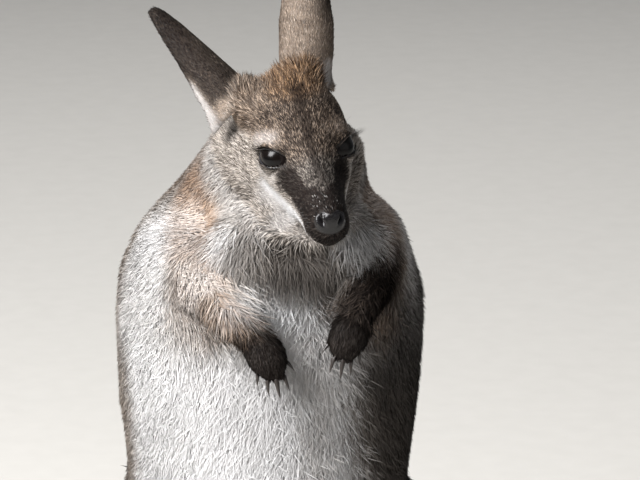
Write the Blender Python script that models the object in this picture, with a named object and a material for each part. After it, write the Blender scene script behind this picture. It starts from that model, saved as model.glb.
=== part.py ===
"""A life-size red-necked wallaby sitting upright, as a still museum model.

The animal faces -Y, its left side is +X, and it rests on z = 0 on its feet and tail. Each solid reaches out
to the tips of the coat. The flesh is made as one body from named masses, and is then parted with thin cuts.
"""

import math

import bmesh
import bpy
import numpy as np
from mathutils import Matrix, Vector

GAP = 0.0004  # between two pieces that touch
MIRROR = Matrix.Diagonal((-1, 1, 1, 1))
SIDES = {"left": Matrix.Identity(4), "right": MIRROR}

# The head turns on the point midway between the eyes.
HEAD_AT = Vector((0.0060, -0.083, 0.5320))
HEAD_NOD, HEAD_TILT = math.radians(14.5), math.radians(-6.5)
HEAD = Matrix.Translation(HEAD_AT) @ Matrix.Rotation(HEAD_NOD, 4, "X") @ Matrix.Rotation(HEAD_TILT, 4, "Y")

# Head sections, from the nose back: y, top, bottom, half width, level of the widest line, roundness above
# and below.
HEAD_SECTIONS = (
    (-0.0815, -0.0070, -0.0235, 0.0065, -0.0150, 2.0, 2.0),
    (-0.0780, -0.0025, -0.0300, 0.0115, -0.0170, 2.2, 2.2),
    (-0.0690, 0.0005, -0.0355, 0.0142, -0.0190, 2.0, 2.2),
    (-0.0540, 0.0055, -0.0385, 0.0158, -0.0200, 1.8, 2.2),
    (-0.0360, 0.0115, -0.0405, 0.0190, -0.0190, 1.8, 2.2),
    (-0.0180, 0.0190, -0.0430, 0.0250, -0.0140, 2.0, 2.1),
    (0.0000, 0.0275, -0.0460, 0.0305, -0.0080, 2.3, 2.0),
    (0.0180, 0.0345, -0.0485, 0.0340, -0.0080, 2.3, 2.0),
    (0.0380, 0.0370, -0.0490, 0.0350, -0.0070, 2.2, 2.0),
    (0.0580, 0.0320, -0.0460, 0.0335, -0.0080, 2.0, 2.0),
    (0.0760, 0.0180, -0.0400, 0.0270, -0.0100, 2.0, 2.0),
    (0.0880, 0.0020, -0.0280, 0.0140, -0.0130, 2.0, 2.0),
)
EYE_AT = Vector((0.0202, 0.0005, 0.0010))
EYE_RADIUS = 0.0132

# Masses that stand out from the head's main form: centre and three radii, in the head's own directions. The
# first three are on both sides.
BROW = ((0.0185, 0.0040, 0.0120), (0.0125, 0.0160, 0.0095))
CHEEK = ((0.0170, 0.0220, -0.0200), (0.0170, 0.0270, 0.0220))
LIP = ((0.0085, -0.0600, -0.0225), (0.0080, 0.0170, 0.0090))
CHIN = ((0, -0.0640, -0.0320), (0.0090, 0.0110, 0.0060))
NOSE = ((0, -0.0775, -0.0105), (0.0100, 0.0060, 0.0085))
EAR_ROOT_RADII = (0.0150, 0.0170, 0.0165)
EAR_ROOT_SINK = 0.85  # how far out the mass under each ear lies, as a share of the ear's own place

# Trunk sections, from the seat up: z, front, back, half width.
TRUNK_SECTIONS = (
    (0.070, 0.050, 0.120, 0.040),
    (0.085, 0.020, 0.145, 0.062),
    (0.110, -0.010, 0.164, 0.080),
    (0.150, -0.050, 0.180, 0.093),
    (0.200, -0.082, 0.187, 0.095),
    (0.250, -0.099, 0.186, 0.098),
    (0.300, -0.106, 0.178, 0.108),
    (0.350, -0.106, 0.166, 0.115),
    (0.395, -0.098, 0.152, 0.116),
    (0.430, -0.086, 0.136, 0.109),
    (0.460, -0.070, 0.118, 0.090),
    (0.480, -0.054, 0.103, 0.071),
    (0.497, -0.034, 0.084, 0.052),
    (0.507, -0.010, 0.060, 0.022),
)

# Runs of limb and tail sections: x, y, z, half width and half depth, on the left side.
NECK = (
    (0.000, 0.060, 0.415, 0.062, 0.058),
    (0.001, 0.030, 0.455, 0.072, 0.067),
    (0.002, -0.002, 0.487, 0.067, 0.062),
    (0.005, -0.030, 0.507, 0.057, 0.053),
    (0.007, -0.052, 0.521, 0.047, 0.042),
)
UPPER_ARM = (
    (0.052, -0.036, 0.452, 0.024, 0.030),
    (0.064, -0.028, 0.440, 0.029, 0.036),
    (0.072, -0.018, 0.430, 0.027, 0.032),
    (0.077, -0.008, 0.424, 0.021, 0.024),
)
FOREARM = (
    (0.079, -0.010, 0.424, 0.018, 0.018),
    (0.073, -0.050, 0.426, 0.0185, 0.020),
    (0.060, -0.085, 0.419, 0.0165, 0.0175),
    (0.046, -0.107, 0.408, 0.0135, 0.0145),
)
HAND = (
    (0.046, -0.106, 0.408, 0.0115, 0.0125),
    (0.039, -0.117, 0.401, 0.0135, 0.0115),
    (0.033, -0.122, 0.391, 0.0150, 0.0105),
    (0.030, -0.123, 0.383, 0.0120, 0.0085),
)
THIGH = (
    (0.058, 0.105, 0.190, 0.045, 0.062),
    (0.078, 0.066, 0.190, 0.045, 0.074),
    (0.092, 0.014, 0.188, 0.042, 0.072),
    (0.099, -0.036, 0.188, 0.035, 0.057),
    (0.098, -0.074, 0.188, 0.025, 0.038),
    (0.096, -0.090, 0.187, 0.014, 0.022),
)
SHANK = (
    (0.097, -0.072, 0.178, 0.023, 0.029),
    (0.098, -0.046, 0.143, 0.025, 0.034),
    (0.097, -0.004, 0.101, 0.023, 0.030),
    (0.095, 0.038, 0.064, 0.018, 0.022),
    (0.093, 0.061, 0.036, 0.017, 0.019),
)
FOOT = (
    (0.093, 0.072, 0.024, 0.010, 0.012),
    (0.093, 0.062, 0.020, 0.0175, 0.022),
    (0.094, 0.034, 0.016, 0.0185, 0.019),
    (0.097, -0.020, 0.014, 0.0185, 0.0165),
    (0.101, -0.070, 0.013, 0.0195, 0.0155),
    (0.104, -0.105, 0.011, 0.0180, 0.0135),
    (0.105, -0.124, 0.009, 0.0100, 0.0090),
)
TAIL = (
    (0.000, 0.120, 0.150, 0.052, 0.060),
    (0.000, 0.165, 0.115, 0.047, 0.050),
    (0.000, 0.212, 0.070, 0.041, 0.042),
    (0.004, 0.275, 0.036, 0.036, 0.036),
    (0.014, 0.350, 0.031, 0.033, 0.033),
    (0.030, 0.450, 0.027, 0.029, 0.029),
    (0.045, 0.560, 0.023, 0.0255, 0.0255),
    (0.050, 0.660, 0.020, 0.022, 0.022),
    (0.044, 0.750, 0.017, 0.019, 0.019),
    (0.036, 0.805, 0.014, 0.015, 0.015),
    (0.031, 0.828, 0.011, 0.006, 0.006),
)

# What is counted as each piece where the body is parted: runs of space a little larger than the flesh.
HEAD_SPACE = (  # in the head's own directions
    (0, -0.125, -0.012, 0.048, 0.046),
    (0, -0.050, -0.008, 0.052, 0.050),
    (0, 0.020, -0.002, 0.060, 0.056),
    (0, 0.094, 0.020, 0.064, 0.056),
)
HAND_SPACE = ((0.032, -0.123, 0.386), (0.022, 0.020, 0.024))  # a rounded space: centre and three radii
FOREARM_SPACE = (
    (0.078, -0.040, 0.427, 0.024, 0.025),
    (0.062, -0.084, 0.420, 0.022, 0.023),
    (0.033, -0.133, 0.400, 0.022, 0.022),
)
FOOT_SPACE = (  # with the toes
    (0.093, 0.100, 0.012, 0.030, 0.034),
    (0.094, 0.030, 0.012, 0.031, 0.030),
    (0.099, -0.050, 0.012, 0.031, 0.026),
    (0.106, -0.165, 0.010, 0.034, 0.022),
)

# How far round a limb's or the neck's own run the flesh is counted as that piece.
LIMB_MARGIN, SHANK_MARGIN, NECK_MARGIN = 0.010, 0.008, 0.014

# Rounded masses that the runs don't give: centre, three radii and turn about X in degrees, on the left side.
SHOULDER = ((0.058, 0.022, 0.420), (0.050, 0.070, 0.062), 0)
BIB = ((0.003, -0.056, 0.448), (0.072, 0.048, 0.054), 12)
HAUNCH = ((0.064, 0.080, 0.172), (0.048, 0.082, 0.078), 0)
BELLY = ((0.000, -0.040, 0.270), (0.085, 0.078, 0.100), 0)

# Digits: name, root and tip of the digit, its radius, then the claw's length and radius at its root.
FINGERS = (
    ("1", (0.026, -0.119, 0.394), (0.0185, -0.121, 0.387), 0.0042, 0.007, 0.0019),
    ("2", (0.026, -0.124, 0.387), (0.0215, -0.126, 0.377), 0.0043, 0.008, 0.0021),
    ("3", (0.030, -0.125, 0.385), (0.0275, -0.128, 0.374), 0.0044, 0.009, 0.0022),
    ("4", (0.035, -0.125, 0.386), (0.0340, -0.127, 0.375), 0.0043, 0.008, 0.0021),
    ("5", (0.040, -0.123, 0.390), (0.0405, -0.124, 0.380), 0.0041, 0.007, 0.0019),
)
TOES = (
    ("2", (0.091, -0.090, 0.009), (0.0875, -0.116, 0.0065), 0.0050, 0.011, 0.0021),
    ("3", (0.096, -0.092, 0.010), (0.0945, -0.121, 0.0065), 0.0050, 0.011, 0.0021),
    ("4", (0.104, -0.100, 0.011), (0.1050, -0.146, 0.0090), 0.0105, 0.026, 0.0058),
    ("5", (0.115, -0.085, 0.009), (0.1200, -0.116, 0.0070), 0.0070, 0.016, 0.0038),
)

FINGER_DROOP, TOE_DROOP = 0.25, 0.12  # how far a claw curves down, as a share of its length

# Each ear: where it leaves the head, its direction, the way it opens, its length and its widest breadth.
EARS = {
    "right": ((-0.038, 0.057, 0.019), (-0.62, 0.42, 0.66), (-0.70, 0.62, -0.55), 0.090, 0.036),
    "left": ((0.010, 0.057, 0.029), (0.10, 0.34, 0.93), (0.45, 0.88, -0.25), 0.092, 0.039),
}
EAR_WALL = 0.0032
EAR_ROLL = (math.radians(112), math.radians(50))  # how far each half curls round, at the root and at the tip
EAR_SET_BACK = 0.55  # how far the hollow's floor lies behind the ear's line, in half widths
EAR_WIDTHS = {  # places along each ear, from root to tip, and its width there as a share of its breadth
    "right": ((0, 1.20), (0.25, 1.00), (0.50, 0.80), (0.75, 0.56), (0.90, 0.38), (1.0, 0.20)),
    "left": ((0, 0.86), (0.20, 0.95), (0.45, 1.00), (0.70, 0.84), (0.88, 0.56), (1.0, 0.20)),
}
EAR_LOBE = 0.10  # how far the ear's edges are drawn towards its root

ARM_SHIFT = {"left": (-0.005, 0.004, 0.014), "right": (0.002, 0, 0.004)}  # the left arm is carried higher

# Where the tail is parted, counted from the rump.
TAIL_CUTS = (("1", 0.186), ("2", 0.345), ("3", 0.510), ("4", 0.670))

FLESH_VOXEL = 0.0032  # how finely the masses are fused
FLESH_TRIANGLES = 2580  # in the whole body, before the cuts add their walls


def clear_scene():
    for obj in list(bpy.data.objects):
        bpy.data.objects.remove(obj)


def coat_material(name, colour, roughness=0.9):
    material = bpy.data.materials.new(name)
    material.use_nodes = True
    shader = material.node_tree.nodes["Principled BSDF"]
    shader.inputs["Base Color"].default_value = (*colour, 1)
    shader.inputs["Roughness"].default_value = roughness
    shader.inputs["Metallic"].default_value = 0
    return material


def object_of(name, bm):
    """A new object that holds a bmesh, with its faces pointing outwards."""
    bmesh.ops.recalc_face_normals(bm, faces=bm.faces[:])
    mesh = bpy.data.meshes.new(name)
    bm.to_mesh(mesh)
    bm.free()
    obj = bpy.data.objects.new(name, mesh)
    bpy.context.scene.collection.objects.link(obj)
    return obj


def spread(rows, per_span=3):
    """More rows on one smooth curve through the given rows."""
    rows = np.array(rows, float)
    padded = np.vstack([2 * rows[0] - rows[1], rows, 2 * rows[-1] - rows[-2]])
    found = []
    for a, b, c, d in zip(padded, padded[1:], padded[2:], padded[3:]):
        for t in np.arange(per_span) / per_span:
            bend, twist = 2 * a - 5 * b + 4 * c - d, 3 * b - a - 3 * c + d
            found.append(0.5 * (2 * b + (c - a) * t + bend * t**2 + twist * t**3))
    return [*found, rows[-1]]


def bridge(bm, rings):
    """Walls between rings of vertices that follow each other."""
    for near, far in zip(rings, rings[1:]):
        both = set(near) | set(far)
        around = {e for v in both for e in v.link_edges}
        loops = [e for e in around if set(e.verts) <= set(near) or set(e.verts) <= set(far)]
        bmesh.ops.bridge_loops(bm, edges=loops)


def limb_bmesh(rows, grow=0.0, segments=18, per_span=3):
    """A rounded run of flesh: elliptical sections across a smooth line."""
    rows = spread(rows, per_span)
    centres = [Vector(r[:3]) for r in rows]
    last = len(rows) - 1
    bm = bmesh.new()
    rings = []
    for i, row in enumerate(rows):
        ahead = (centres[min(i + 1, last)] - centres[max(i - 1, 0)]).normalized()
        across = Vector((1, 0, 0))
        across = (across - ahead * across.dot(ahead)).normalized()
        turn = Matrix((across, ahead.cross(across), ahead)).transposed().to_4x4()
        size = Matrix.Diagonal((row[3] + grow, row[4] + grow, 1, 1))
        made = bmesh.ops.create_circle(
            bm,
            cap_ends=i in (0, last),
            segments=segments,
            radius=1,
            matrix=Matrix.Translation(centres[i]) @ turn @ size,
        )
        rings.append(made["verts"])
    bridge(bm, rings)
    bmesh.ops.triangulate(bm, faces=bm.faces[:], quad_method="FIXED")  # a grown run keeps the same creases
    if grow:
        ends = ((rings[0], centres[0] - centres[1]), (rings[-1], centres[-1] - centres[-2]))
        for ring, ahead in ends:
            bmesh.ops.translate(bm, verts=ring, vec=ahead.normalized() * grow)
    return bm


def limb(name, rows, grow=0.0, place=None, **options):
    bm = limb_bmesh(rows, grow, **options)
    bmesh.ops.transform(bm, matrix=place or Matrix.Identity(4), verts=bm.verts[:])
    return object_of(name, bm)


def ball(name, centre, radii, turn_deg=0, place=None, fineness=4):
    """An ellipsoid, tipped about the X axis."""
    bm = bmesh.new()
    size = Matrix.Diagonal((*radii, 1))
    shape = Matrix.Translation(centre) @ Matrix.Rotation(math.radians(turn_deg), 4, "X") @ size
    place = place or Matrix.Identity(4)
    bmesh.ops.create_icosphere(bm, subdivisions=fineness, radius=1, matrix=place @ shape)
    return object_of(name, bm)


def rounded_ring(bm, section, cap):
    """One section across the head, a rounded outline that may be fuller above or below its widest line."""
    y, top, bottom, half_width, level, above, below = section
    made = bmesh.ops.create_circle(bm, cap_ends=cap, segments=32, radius=1)
    for vert in made["verts"]:
        side, height = vert.co.x, vert.co.y
        power = 2 / (above if height > 0 else below)
        reach = top - level if height > 0 else level - bottom
        vert.co = (
            half_width * math.copysign(abs(side) ** power, side),
            y,
            level + reach * math.copysign(abs(height) ** power, height),
        )
    return made["verts"]


def head_mass(name):
    bm = bmesh.new()
    sections = spread(HEAD_SECTIONS)
    rings = [rounded_ring(bm, s, i in (0, len(sections) - 1)) for i, s in enumerate(sections)]
    bridge(bm, rings)
    bmesh.ops.transform(bm, matrix=HEAD, verts=bm.verts[:])
    return object_of(name, bm)


def head_masses():
    """The head's main form, with the masses that stand out from it."""
    masses = [head_mass("head_form")]
    for side in SIDES.values():
        masses += [ball("mass", centre, radii, 0, HEAD @ side) for centre, radii in (BROW, CHEEK, LIP)]
    for root, *_ in EARS.values():
        under = Vector(root) * EAR_ROOT_SINK
        masses.append(ball("ear_root", under, EAR_ROOT_RADII, 0, HEAD))
    masses += [ball("mass", centre, radii, 0, HEAD) for centre, radii in (CHIN, NOSE)]
    return masses


def trunk_rows():
    rows = []
    for z, front, back, half_width in TRUNK_SECTIONS:
        rows.append((0, (front + back) / 2, z, half_width, (back - front) / 2))
    return rows


def digit(name, root, tip, radius, place):
    rows = []
    for share, size in ((0, 0.8), (0.35, 1.0), (0.75, 0.95), (0.95, 0.7), (1.0, 0.3)):
        rows.append((*Vector(root).lerp(Vector(tip), share), radius * size, radius * size))
    return limb(name, rows, place=place, segments=12, per_span=1)


def arm_place(side):
    """Where one side's arm sits, as its place is given for the left arm at rest."""
    return Matrix.Translation(ARM_SHIFT[side]) @ SIDES[side]


def limb_masses(side):
    """Everything that grows on one side, out to the fingers and toes."""
    place, arm = SIDES[side], arm_place(side)
    masses = [
        ball("shoulder", *SHOULDER, place),
        ball("haunch", *HAUNCH, place),
    ]
    limbs = ((arm, (UPPER_ARM, FOREARM, HAND), FINGERS), (place, (THIGH, SHANK, FOOT), TOES))
    for spot, runs, digits in limbs:
        masses += [limb("run", run, place=spot) for run in runs]
        masses += [digit(name, root, tip, radius, spot) for name, root, tip, radius, *_ in digits]
    return masses


def apply_modifiers(obj):
    """Puts the object's modifiers into its mesh."""
    bpy.context.view_layer.update()
    graph = bpy.context.evaluated_depsgraph_get()
    mesh = bpy.data.meshes.new_from_object(obj.evaluated_get(graph))
    obj.modifiers.clear()
    obj.data = mesh


def joined(name, objects):
    """One mesh that holds several, still as separate shells."""
    bm = bmesh.new()
    for obj in objects:
        bm.from_mesh(obj.data)
        bpy.data.objects.remove(obj)
    return object_of(name, bm)


def flesh():
    """The whole body as one closed skin, blended where the masses meet."""
    masses = head_masses()
    masses.append(limb("trunk_form", trunk_rows(), segments=36))
    masses.append(limb("neck_form", NECK))
    masses.append(limb("tail_form", TAIL))
    masses.append(ball("bib", *BIB))
    masses.append(ball("belly", *BELLY))
    for side in SIDES:
        masses += limb_masses(side)
    body = joined("flesh", masses)
    fuse = body.modifiers.new("fuse", "REMESH")
    fuse.mode = "VOXEL"
    fuse.voxel_size = FLESH_VOXEL
    soften = body.modifiers.new("soften", "SMOOTH")
    soften.factor = 0.5
    soften.iterations = 5
    apply_modifiers(body)
    thin_flesh(body)
    stand_on_floor(body)
    return body


def detail_wanted(point):
    """From 0 to 1, how finely the flesh is kept at this point."""
    local = HEAD.inverted() @ point
    if local.length < 0.12:
        return 1 - min(1, max(0, (local.y - 0.02) / 0.05))  # less towards the nape
    on_a_hand = point.y < -0.095 and 0.36 < point.z < 0.425 and abs(point.x) < 0.06
    on_the_toes = point.y < -0.06 and point.z < 0.03
    return 0.8 if on_a_hand or on_the_toes else 0


def thin_flesh(body):
    """Fewer triangles, mostly where the form is broad."""
    group = body.vertex_groups.new(name="broad")
    for vert in body.data.vertices:
        group.add([vert.index], 1 - 0.5 * detail_wanted(vert.co), "REPLACE")
    faces = sum(len(p.vertices) - 2 for p in body.data.polygons)
    thin = body.modifiers.new("thin", "DECIMATE")
    thin.ratio = FLESH_TRIANGLES / faces
    thin.vertex_group = "broad"
    apply_modifiers(body)


def stand_on_floor(body):
    """Cuts flats at z = 0 under the feet and the tail."""
    boolean(body, box("under_floor", (-1, -1, -1), (1, 2, 0)), "DIFFERENCE")


def box(name, low, high):
    bm = bmesh.new()
    low, high = Vector(low), Vector(high)
    place = Matrix.Translation((low + high) / 2) @ Matrix.Diagonal((*(high - low), 1))
    bmesh.ops.create_cube(bm, size=1, matrix=place)
    return object_of(name, bm)


def largest_piece(obj):
    """Drops chips that a cut leaves beside the main piece."""
    bm = bmesh.new()
    bm.from_mesh(obj.data)
    left = set(bm.faces)
    islands = []
    while left:
        island, edge = set(), [left.pop()]
        while edge:
            face = edge.pop()
            island.add(face)
            for e in face.edges:
                for other in e.link_faces:
                    if other in left:
                        left.discard(other)
                        edge.append(other)
        islands.append(island)
    islands.sort(key=lambda faces: sum(f.calc_area() for f in faces))
    for island in islands[:-1]:
        bmesh.ops.delete(bm, geom=list(island), context="FACES")
    bm.to_mesh(obj.data)
    bm.free()
    obj.data.update()


def boolean(obj, tool, operation):
    cut = obj.modifiers.new("cut", "BOOLEAN")
    cut.operation = operation
    cut.solver = "MANIFOLD"  # the exact solver leaves open edges where many cuts meet
    cut.object = tool
    apply_modifiers(obj)
    bpy.data.objects.remove(tool)
    largest_piece(obj)


def copy_of(obj, name):
    made = bpy.data.objects.new(name, obj.data.copy())
    bpy.context.scene.collection.objects.link(made)
    return made


def part_from(body, name, region):
    """Takes what lies inside a region of space out of the body, as its own piece with a gap behind it.

    The region is a function of the margin to leave round it.
    """
    piece = copy_of(body, name)
    boolean(piece, region(0), "INTERSECT")
    boolean(body, region(GAP), "DIFFERENCE")
    return piece


def run_region(rows, margin, place=None):
    """A region of space round a run of flesh."""
    return lambda more: limb("region", rows, margin + more, place, segments=10, per_span=1)


def ball_region(centre, radii, place=None):
    """A rounded region of space."""
    return lambda more: ball("region", centre, [r + more for r in radii], 0, place, fineness=2)


def beyond(y):
    """All that lies further back than this."""
    return lambda more: box("region", (-1, y - more, -1), (1, 2, 1))


def part_tail(body):
    """The tail in four lengths, from the tip in."""
    return [part_from(body, f"tail_{name}", beyond(y)) for name, y in reversed(TAIL_CUTS)]


def part_side(body, side):
    """The hand, arm, foot and leg of one side, from the tips in."""
    place, arm = SIDES[side], arm_place(side)
    hand = part_from(body, f"hand_{side}", ball_region(*HAND_SPACE, arm))
    forearm = part_from(body, f"forearm_{side}", run_region(FOREARM_SPACE, 0, arm))
    upper_arm = part_from(body, f"upper_arm_{side}", run_region(UPPER_ARM, LIMB_MARGIN, arm))
    foot = part_from(body, f"foot_{side}", run_region(FOOT_SPACE, 0, place))
    shank = part_from(body, f"shank_{side}", run_region(SHANK, SHANK_MARGIN, place))
    thigh = part_from(body, f"thigh_{side}", run_region(THIGH, LIMB_MARGIN, place))
    return [hand, forearm, upper_arm, foot, shank, thigh]


def ear(name, side):
    """A leaf-shaped ear, rolled towards its root, whose hollow faces the way it opens."""
    root, direction, opening, length, breadth = EARS[side]
    ahead = Vector(direction).normalized()
    opens = Vector(opening)
    opens = (opens - ahead * opens.dot(ahead)).normalized()
    across = ahead.cross(opens)
    start = HEAD @ Vector(root)
    bm = bmesh.new()
    bmesh.ops.create_grid(bm, x_segments=8, y_segments=10, size=1)
    for vert in bm.verts:
        u, v = vert.co.x, (vert.co.y + 1) / 2
        half_width = breadth / 2 * np.interp(v, *zip(*EAR_WIDTHS[side]))
        most_roll = EAR_ROLL[0] + (EAR_ROLL[1] - EAR_ROLL[0]) * v
        bend = half_width / max(math.sin(most_roll), 0.9)
        roll = most_roll * u
        reach = length * (v - EAR_LOBE * v * (1 - v) * u**2)
        depth = bend * (1 - math.cos(roll)) - half_width * EAR_SET_BACK
        vert.co = start + ahead * reach + across * bend * math.sin(roll) + opens * depth
    obj = object_of(name, bm)
    wall = obj.modifiers.new("wall", "SOLIDIFY")
    wall.thickness = EAR_WALL
    wall.offset = 0
    apply_modifiers(obj)
    return obj


def claw(name, root, tip, length, radius, place, droop):
    """A tapered claw that curves down from the tip of its digit, rooted a little way inside it."""
    root, tip = Vector(root), Vector(tip)
    ahead = (tip - root).normalized()
    rooted = 1.5 * radius
    rows = []
    for share in (0, 0.45, 0.8, 1):
        point = tip + ahead * ((length + rooted) * share - rooted)
        point.z -= droop * length * share**2
        size = radius * (1 - 0.88 * share**1.5)
        rows.append((*point, size, size * 1.15))
    return limb(name, rows, place=place, segments=6, per_span=1)


def trimmed(piece, neighbour):
    """Takes the neighbour's solid out of a piece that grows from it, with a gap."""
    tool = copy_of(neighbour, "tool")
    swell(tool, GAP)
    boolean(piece, tool, "DIFFERENCE")


def swell(obj, distance):
    """Moves every face outwards by this distance, with edges kept sharp up to a limit."""
    bm = bmesh.new()
    bm.from_mesh(obj.data)
    bm.normal_update()
    sharpest = 4.0  # the most that a sharp corner moves, in distances
    moves = [v.normal * distance * min(v.calc_shell_factor(), sharpest) for v in bm.verts]
    for vert, move in zip(bm.verts, moves):
        vert.co += move
    bm.to_mesh(obj.data)
    bm.free()


def part_head(body):
    head = part_from(body, "head", run_region(HEAD_SPACE, 0, HEAD))
    neck = part_from(body, "neck", run_region(NECK[1:], NECK_MARGIN))
    return head, neck


def eyes(head):
    made = []
    for side, place in SIDES.items():
        centre = HEAD @ place @ EYE_AT
        boolean(head, ball("socket", centre, (EYE_RADIUS + GAP,) * 3, fineness=3), "DIFFERENCE")
        made.append(ball(f"eye_{side}", centre, (EYE_RADIUS,) * 3, fineness=3))
    return made


def claws(side, hand, foot):
    made = []
    for name, root, tip, _, length, radius in FINGERS:
        place = arm_place(side)
        made.append(claw(f"claw_hand_{name}_{side}", root, tip, length, radius, place, FINGER_DROOP))
        trimmed(made[-1], hand)
    for name, root, tip, _, length, radius in TOES:
        place = SIDES[side]
        made.append(claw(f"claw_foot_{name}_{side}", root, tip, length, radius, place, TOE_DROOP))
        trimmed(made[-1], foot)
    return made


def centre_on_origin(pieces):
    """Moves the animal so that its box stands on the origin."""
    points = np.array([v.co for piece in pieces for v in piece.data.vertices])
    low, high = points.min(0), points.max(0)
    shift = Matrix.Translation((-(low[0] + high[0]) / 2, -(low[1] + high[1]) / 2, 0))
    for piece in pieces:
        piece.data.transform(shift)


def main():
    clear_scene()
    grey_brown = coat_material("grey_brown_coat", (0.25, 0.20, 0.15))
    dark_horn = coat_material("dark_horn", (0.03, 0.025, 0.02), 0.4)
    wet_eye = coat_material("dark_eye", (0.01, 0.007, 0.005), 0.05)
    body = flesh()
    flesh_pieces = part_tail(body)
    horn_pieces = []
    for side in SIDES:
        found = part_side(body, side)
        flesh_pieces += found
        horn_pieces += claws(side, found[0], found[3])
    head, neck = part_head(body)
    body.name = "trunk"
    eye_pieces = eyes(head)
    flesh_pieces += [head, neck, body]
    for side in SIDES:
        made = ear(f"ear_{side}", side)
        trimmed(made, head)
        trimmed(made, neck)
        flesh_pieces.append(made)
    finishes = ((flesh_pieces, grey_brown), (horn_pieces, dark_horn), (eye_pieces, wet_eye))
    for pieces, material in finishes:
        for piece in pieces:
            piece.data.materials.clear()
            piece.data.materials.append(material)
    centre_on_origin(flesh_pieces + horn_pieces + eye_pieces)


main()
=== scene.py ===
"""A life-size red-necked wallaby: skin, coat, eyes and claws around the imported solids.

One closed skin stands for all the flesh. It lies under the solids' surface by the depth of the coat, which
is made of tufts of solid mesh that follow the lie of the fur.
"""

import math

import bmesh
import bpy
import numpy as np
from mathutils import Matrix, Vector
from mathutils.bvhtree import BVHTree


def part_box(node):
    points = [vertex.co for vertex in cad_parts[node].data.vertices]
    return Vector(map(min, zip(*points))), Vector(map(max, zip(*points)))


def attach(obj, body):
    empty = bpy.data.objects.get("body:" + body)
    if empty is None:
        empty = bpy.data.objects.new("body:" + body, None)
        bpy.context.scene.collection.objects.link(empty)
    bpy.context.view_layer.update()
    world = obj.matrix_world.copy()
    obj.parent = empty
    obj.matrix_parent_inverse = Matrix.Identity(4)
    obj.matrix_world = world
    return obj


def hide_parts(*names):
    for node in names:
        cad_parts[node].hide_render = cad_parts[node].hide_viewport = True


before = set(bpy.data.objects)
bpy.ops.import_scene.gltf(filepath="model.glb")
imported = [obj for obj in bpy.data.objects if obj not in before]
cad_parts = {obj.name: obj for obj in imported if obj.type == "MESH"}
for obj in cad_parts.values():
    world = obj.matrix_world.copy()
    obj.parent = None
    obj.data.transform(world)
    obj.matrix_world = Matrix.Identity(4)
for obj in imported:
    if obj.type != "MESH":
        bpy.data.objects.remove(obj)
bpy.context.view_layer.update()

MM = 0.001
SIDES = {"left": 1, "right": -1}
FLESH = [n for n in sorted(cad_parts) if not n.startswith(("eye_", "claw_"))]
CLAWS = [n for n in sorted(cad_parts) if n.startswith("claw_")]
TUFTS = 372_000

# The head's own directions are +X to its left, -Y to the nose and +Z to the crown. It turns on a point
# between the eyes.
HEAD_NOD, HEAD_TILT = math.radians(14.5), math.radians(-6.5)
EYES_ABOVE = Vector((0, 0.0005, 0.0010))  # the eyes' middle, from that point
EYE_CENTRES = {s: (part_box(f"eye_{s}")[0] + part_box(f"eye_{s}")[1]) / 2 for s in SIDES}
EYE_RADIUS = (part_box("eye_left")[1].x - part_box("eye_left")[0].x) / 2
BETWEEN_EYES = (EYE_CENTRES["left"] + EYE_CENTRES["right"]) / 2
HEAD_TURN = Matrix.Rotation(HEAD_NOD, 4, "X") @ Matrix.Rotation(HEAD_TILT, 4, "Y")
HEAD = Matrix.Translation(BETWEEN_EYES - HEAD_TURN @ EYES_ABOVE) @ HEAD_TURN
TO_HEAD = HEAD.inverted()

# Each ear: where it leaves the head, the way it points, the way its hollow faces, its length and breadth.
EARS = {
    "right": ((-0.038, 0.057, 0.019), (-0.62, 0.42, 0.66), (-0.70, 0.62, -0.55), 0.090, 0.036),
    "left": ((0.010, 0.057, 0.029), (0.10, 0.34, 0.93), (0.45, 0.88, -0.25), 0.092, 0.039),
}
EAR_WIDTHS = {  # places along each ear, from root to tip, and its width there as a share of its breadth
    "right": ((0, 1.20), (0.25, 1.06), (0.50, 0.92), (0.75, 0.74), (0.90, 0.56), (0.96, 0.42), (1.0, 0.18)),
    "left": ((0, 0.86), (0.20, 0.95), (0.45, 1.00), (0.70, 0.84), (0.88, 0.56), (1.0, 0.20)),
}


# ------------------------------------------------------------------ helpers


def linear(hex_colour):
    """An sRGB hex value as linear light, with full alpha."""
    values = [int(hex_colour[i : i + 2], 16) / 255 for i in (1, 3, 5)]
    return (*[v / 12.92 if v <= 0.04045 else ((v + 0.055) / 1.055) ** 2.4 for v in values], 1)


def add_node(tree, kind, settings=None, links=None):
    """A shader node with its settings, and its inputs joined to sockets or set to values."""
    made = tree.nodes.new(kind)
    for key, value in (settings or {}).items():
        setattr(made, key, value)
    for key, value in (links or {}).items():
        if isinstance(value, bpy.types.NodeSocket):
            tree.links.new(value, made.inputs[key])
        else:
            made.inputs[key].default_value = value
    return made


def stored(bm, mesh):
    """The mesh, with the bmesh's form put into it."""
    bm.to_mesh(mesh)
    bm.free()
    mesh.update()
    return mesh


def linked(name, mesh):
    """A new object of this mesh, in the scene."""
    obj = bpy.data.objects.new(name, mesh)
    bpy.context.scene.collection.objects.link(obj)
    return obj


def new_object(name, bm):
    return linked(name, stored(bm, bpy.data.meshes.new(name)))


def bmesh_of(mesh):
    bm = bmesh.new()
    bm.from_mesh(mesh)
    return bm


def modify(obj, kind, **settings):
    """Gives the object's mesh the form that one modifier makes of it."""
    modifier = obj.modifiers.new(kind.lower(), kind)
    for name, value in settings.items():
        setattr(modifier, name, value)
    bpy.context.view_layer.update()
    graph = bpy.context.evaluated_depsgraph_get()
    mesh = bpy.data.meshes.new_from_object(obj.evaluated_get(graph))
    obj.modifiers.clear()
    obj.data = mesh


def values_of(items, name, width=1, kind=np.float32):
    """One property of all of a mesh's items, as an array."""
    values = np.empty(len(items) * width, kind)
    items.foreach_get(name, values)
    values = values.astype(float) if kind is np.float32 else values
    return values.reshape(-1, width) if width > 1 else values


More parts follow.
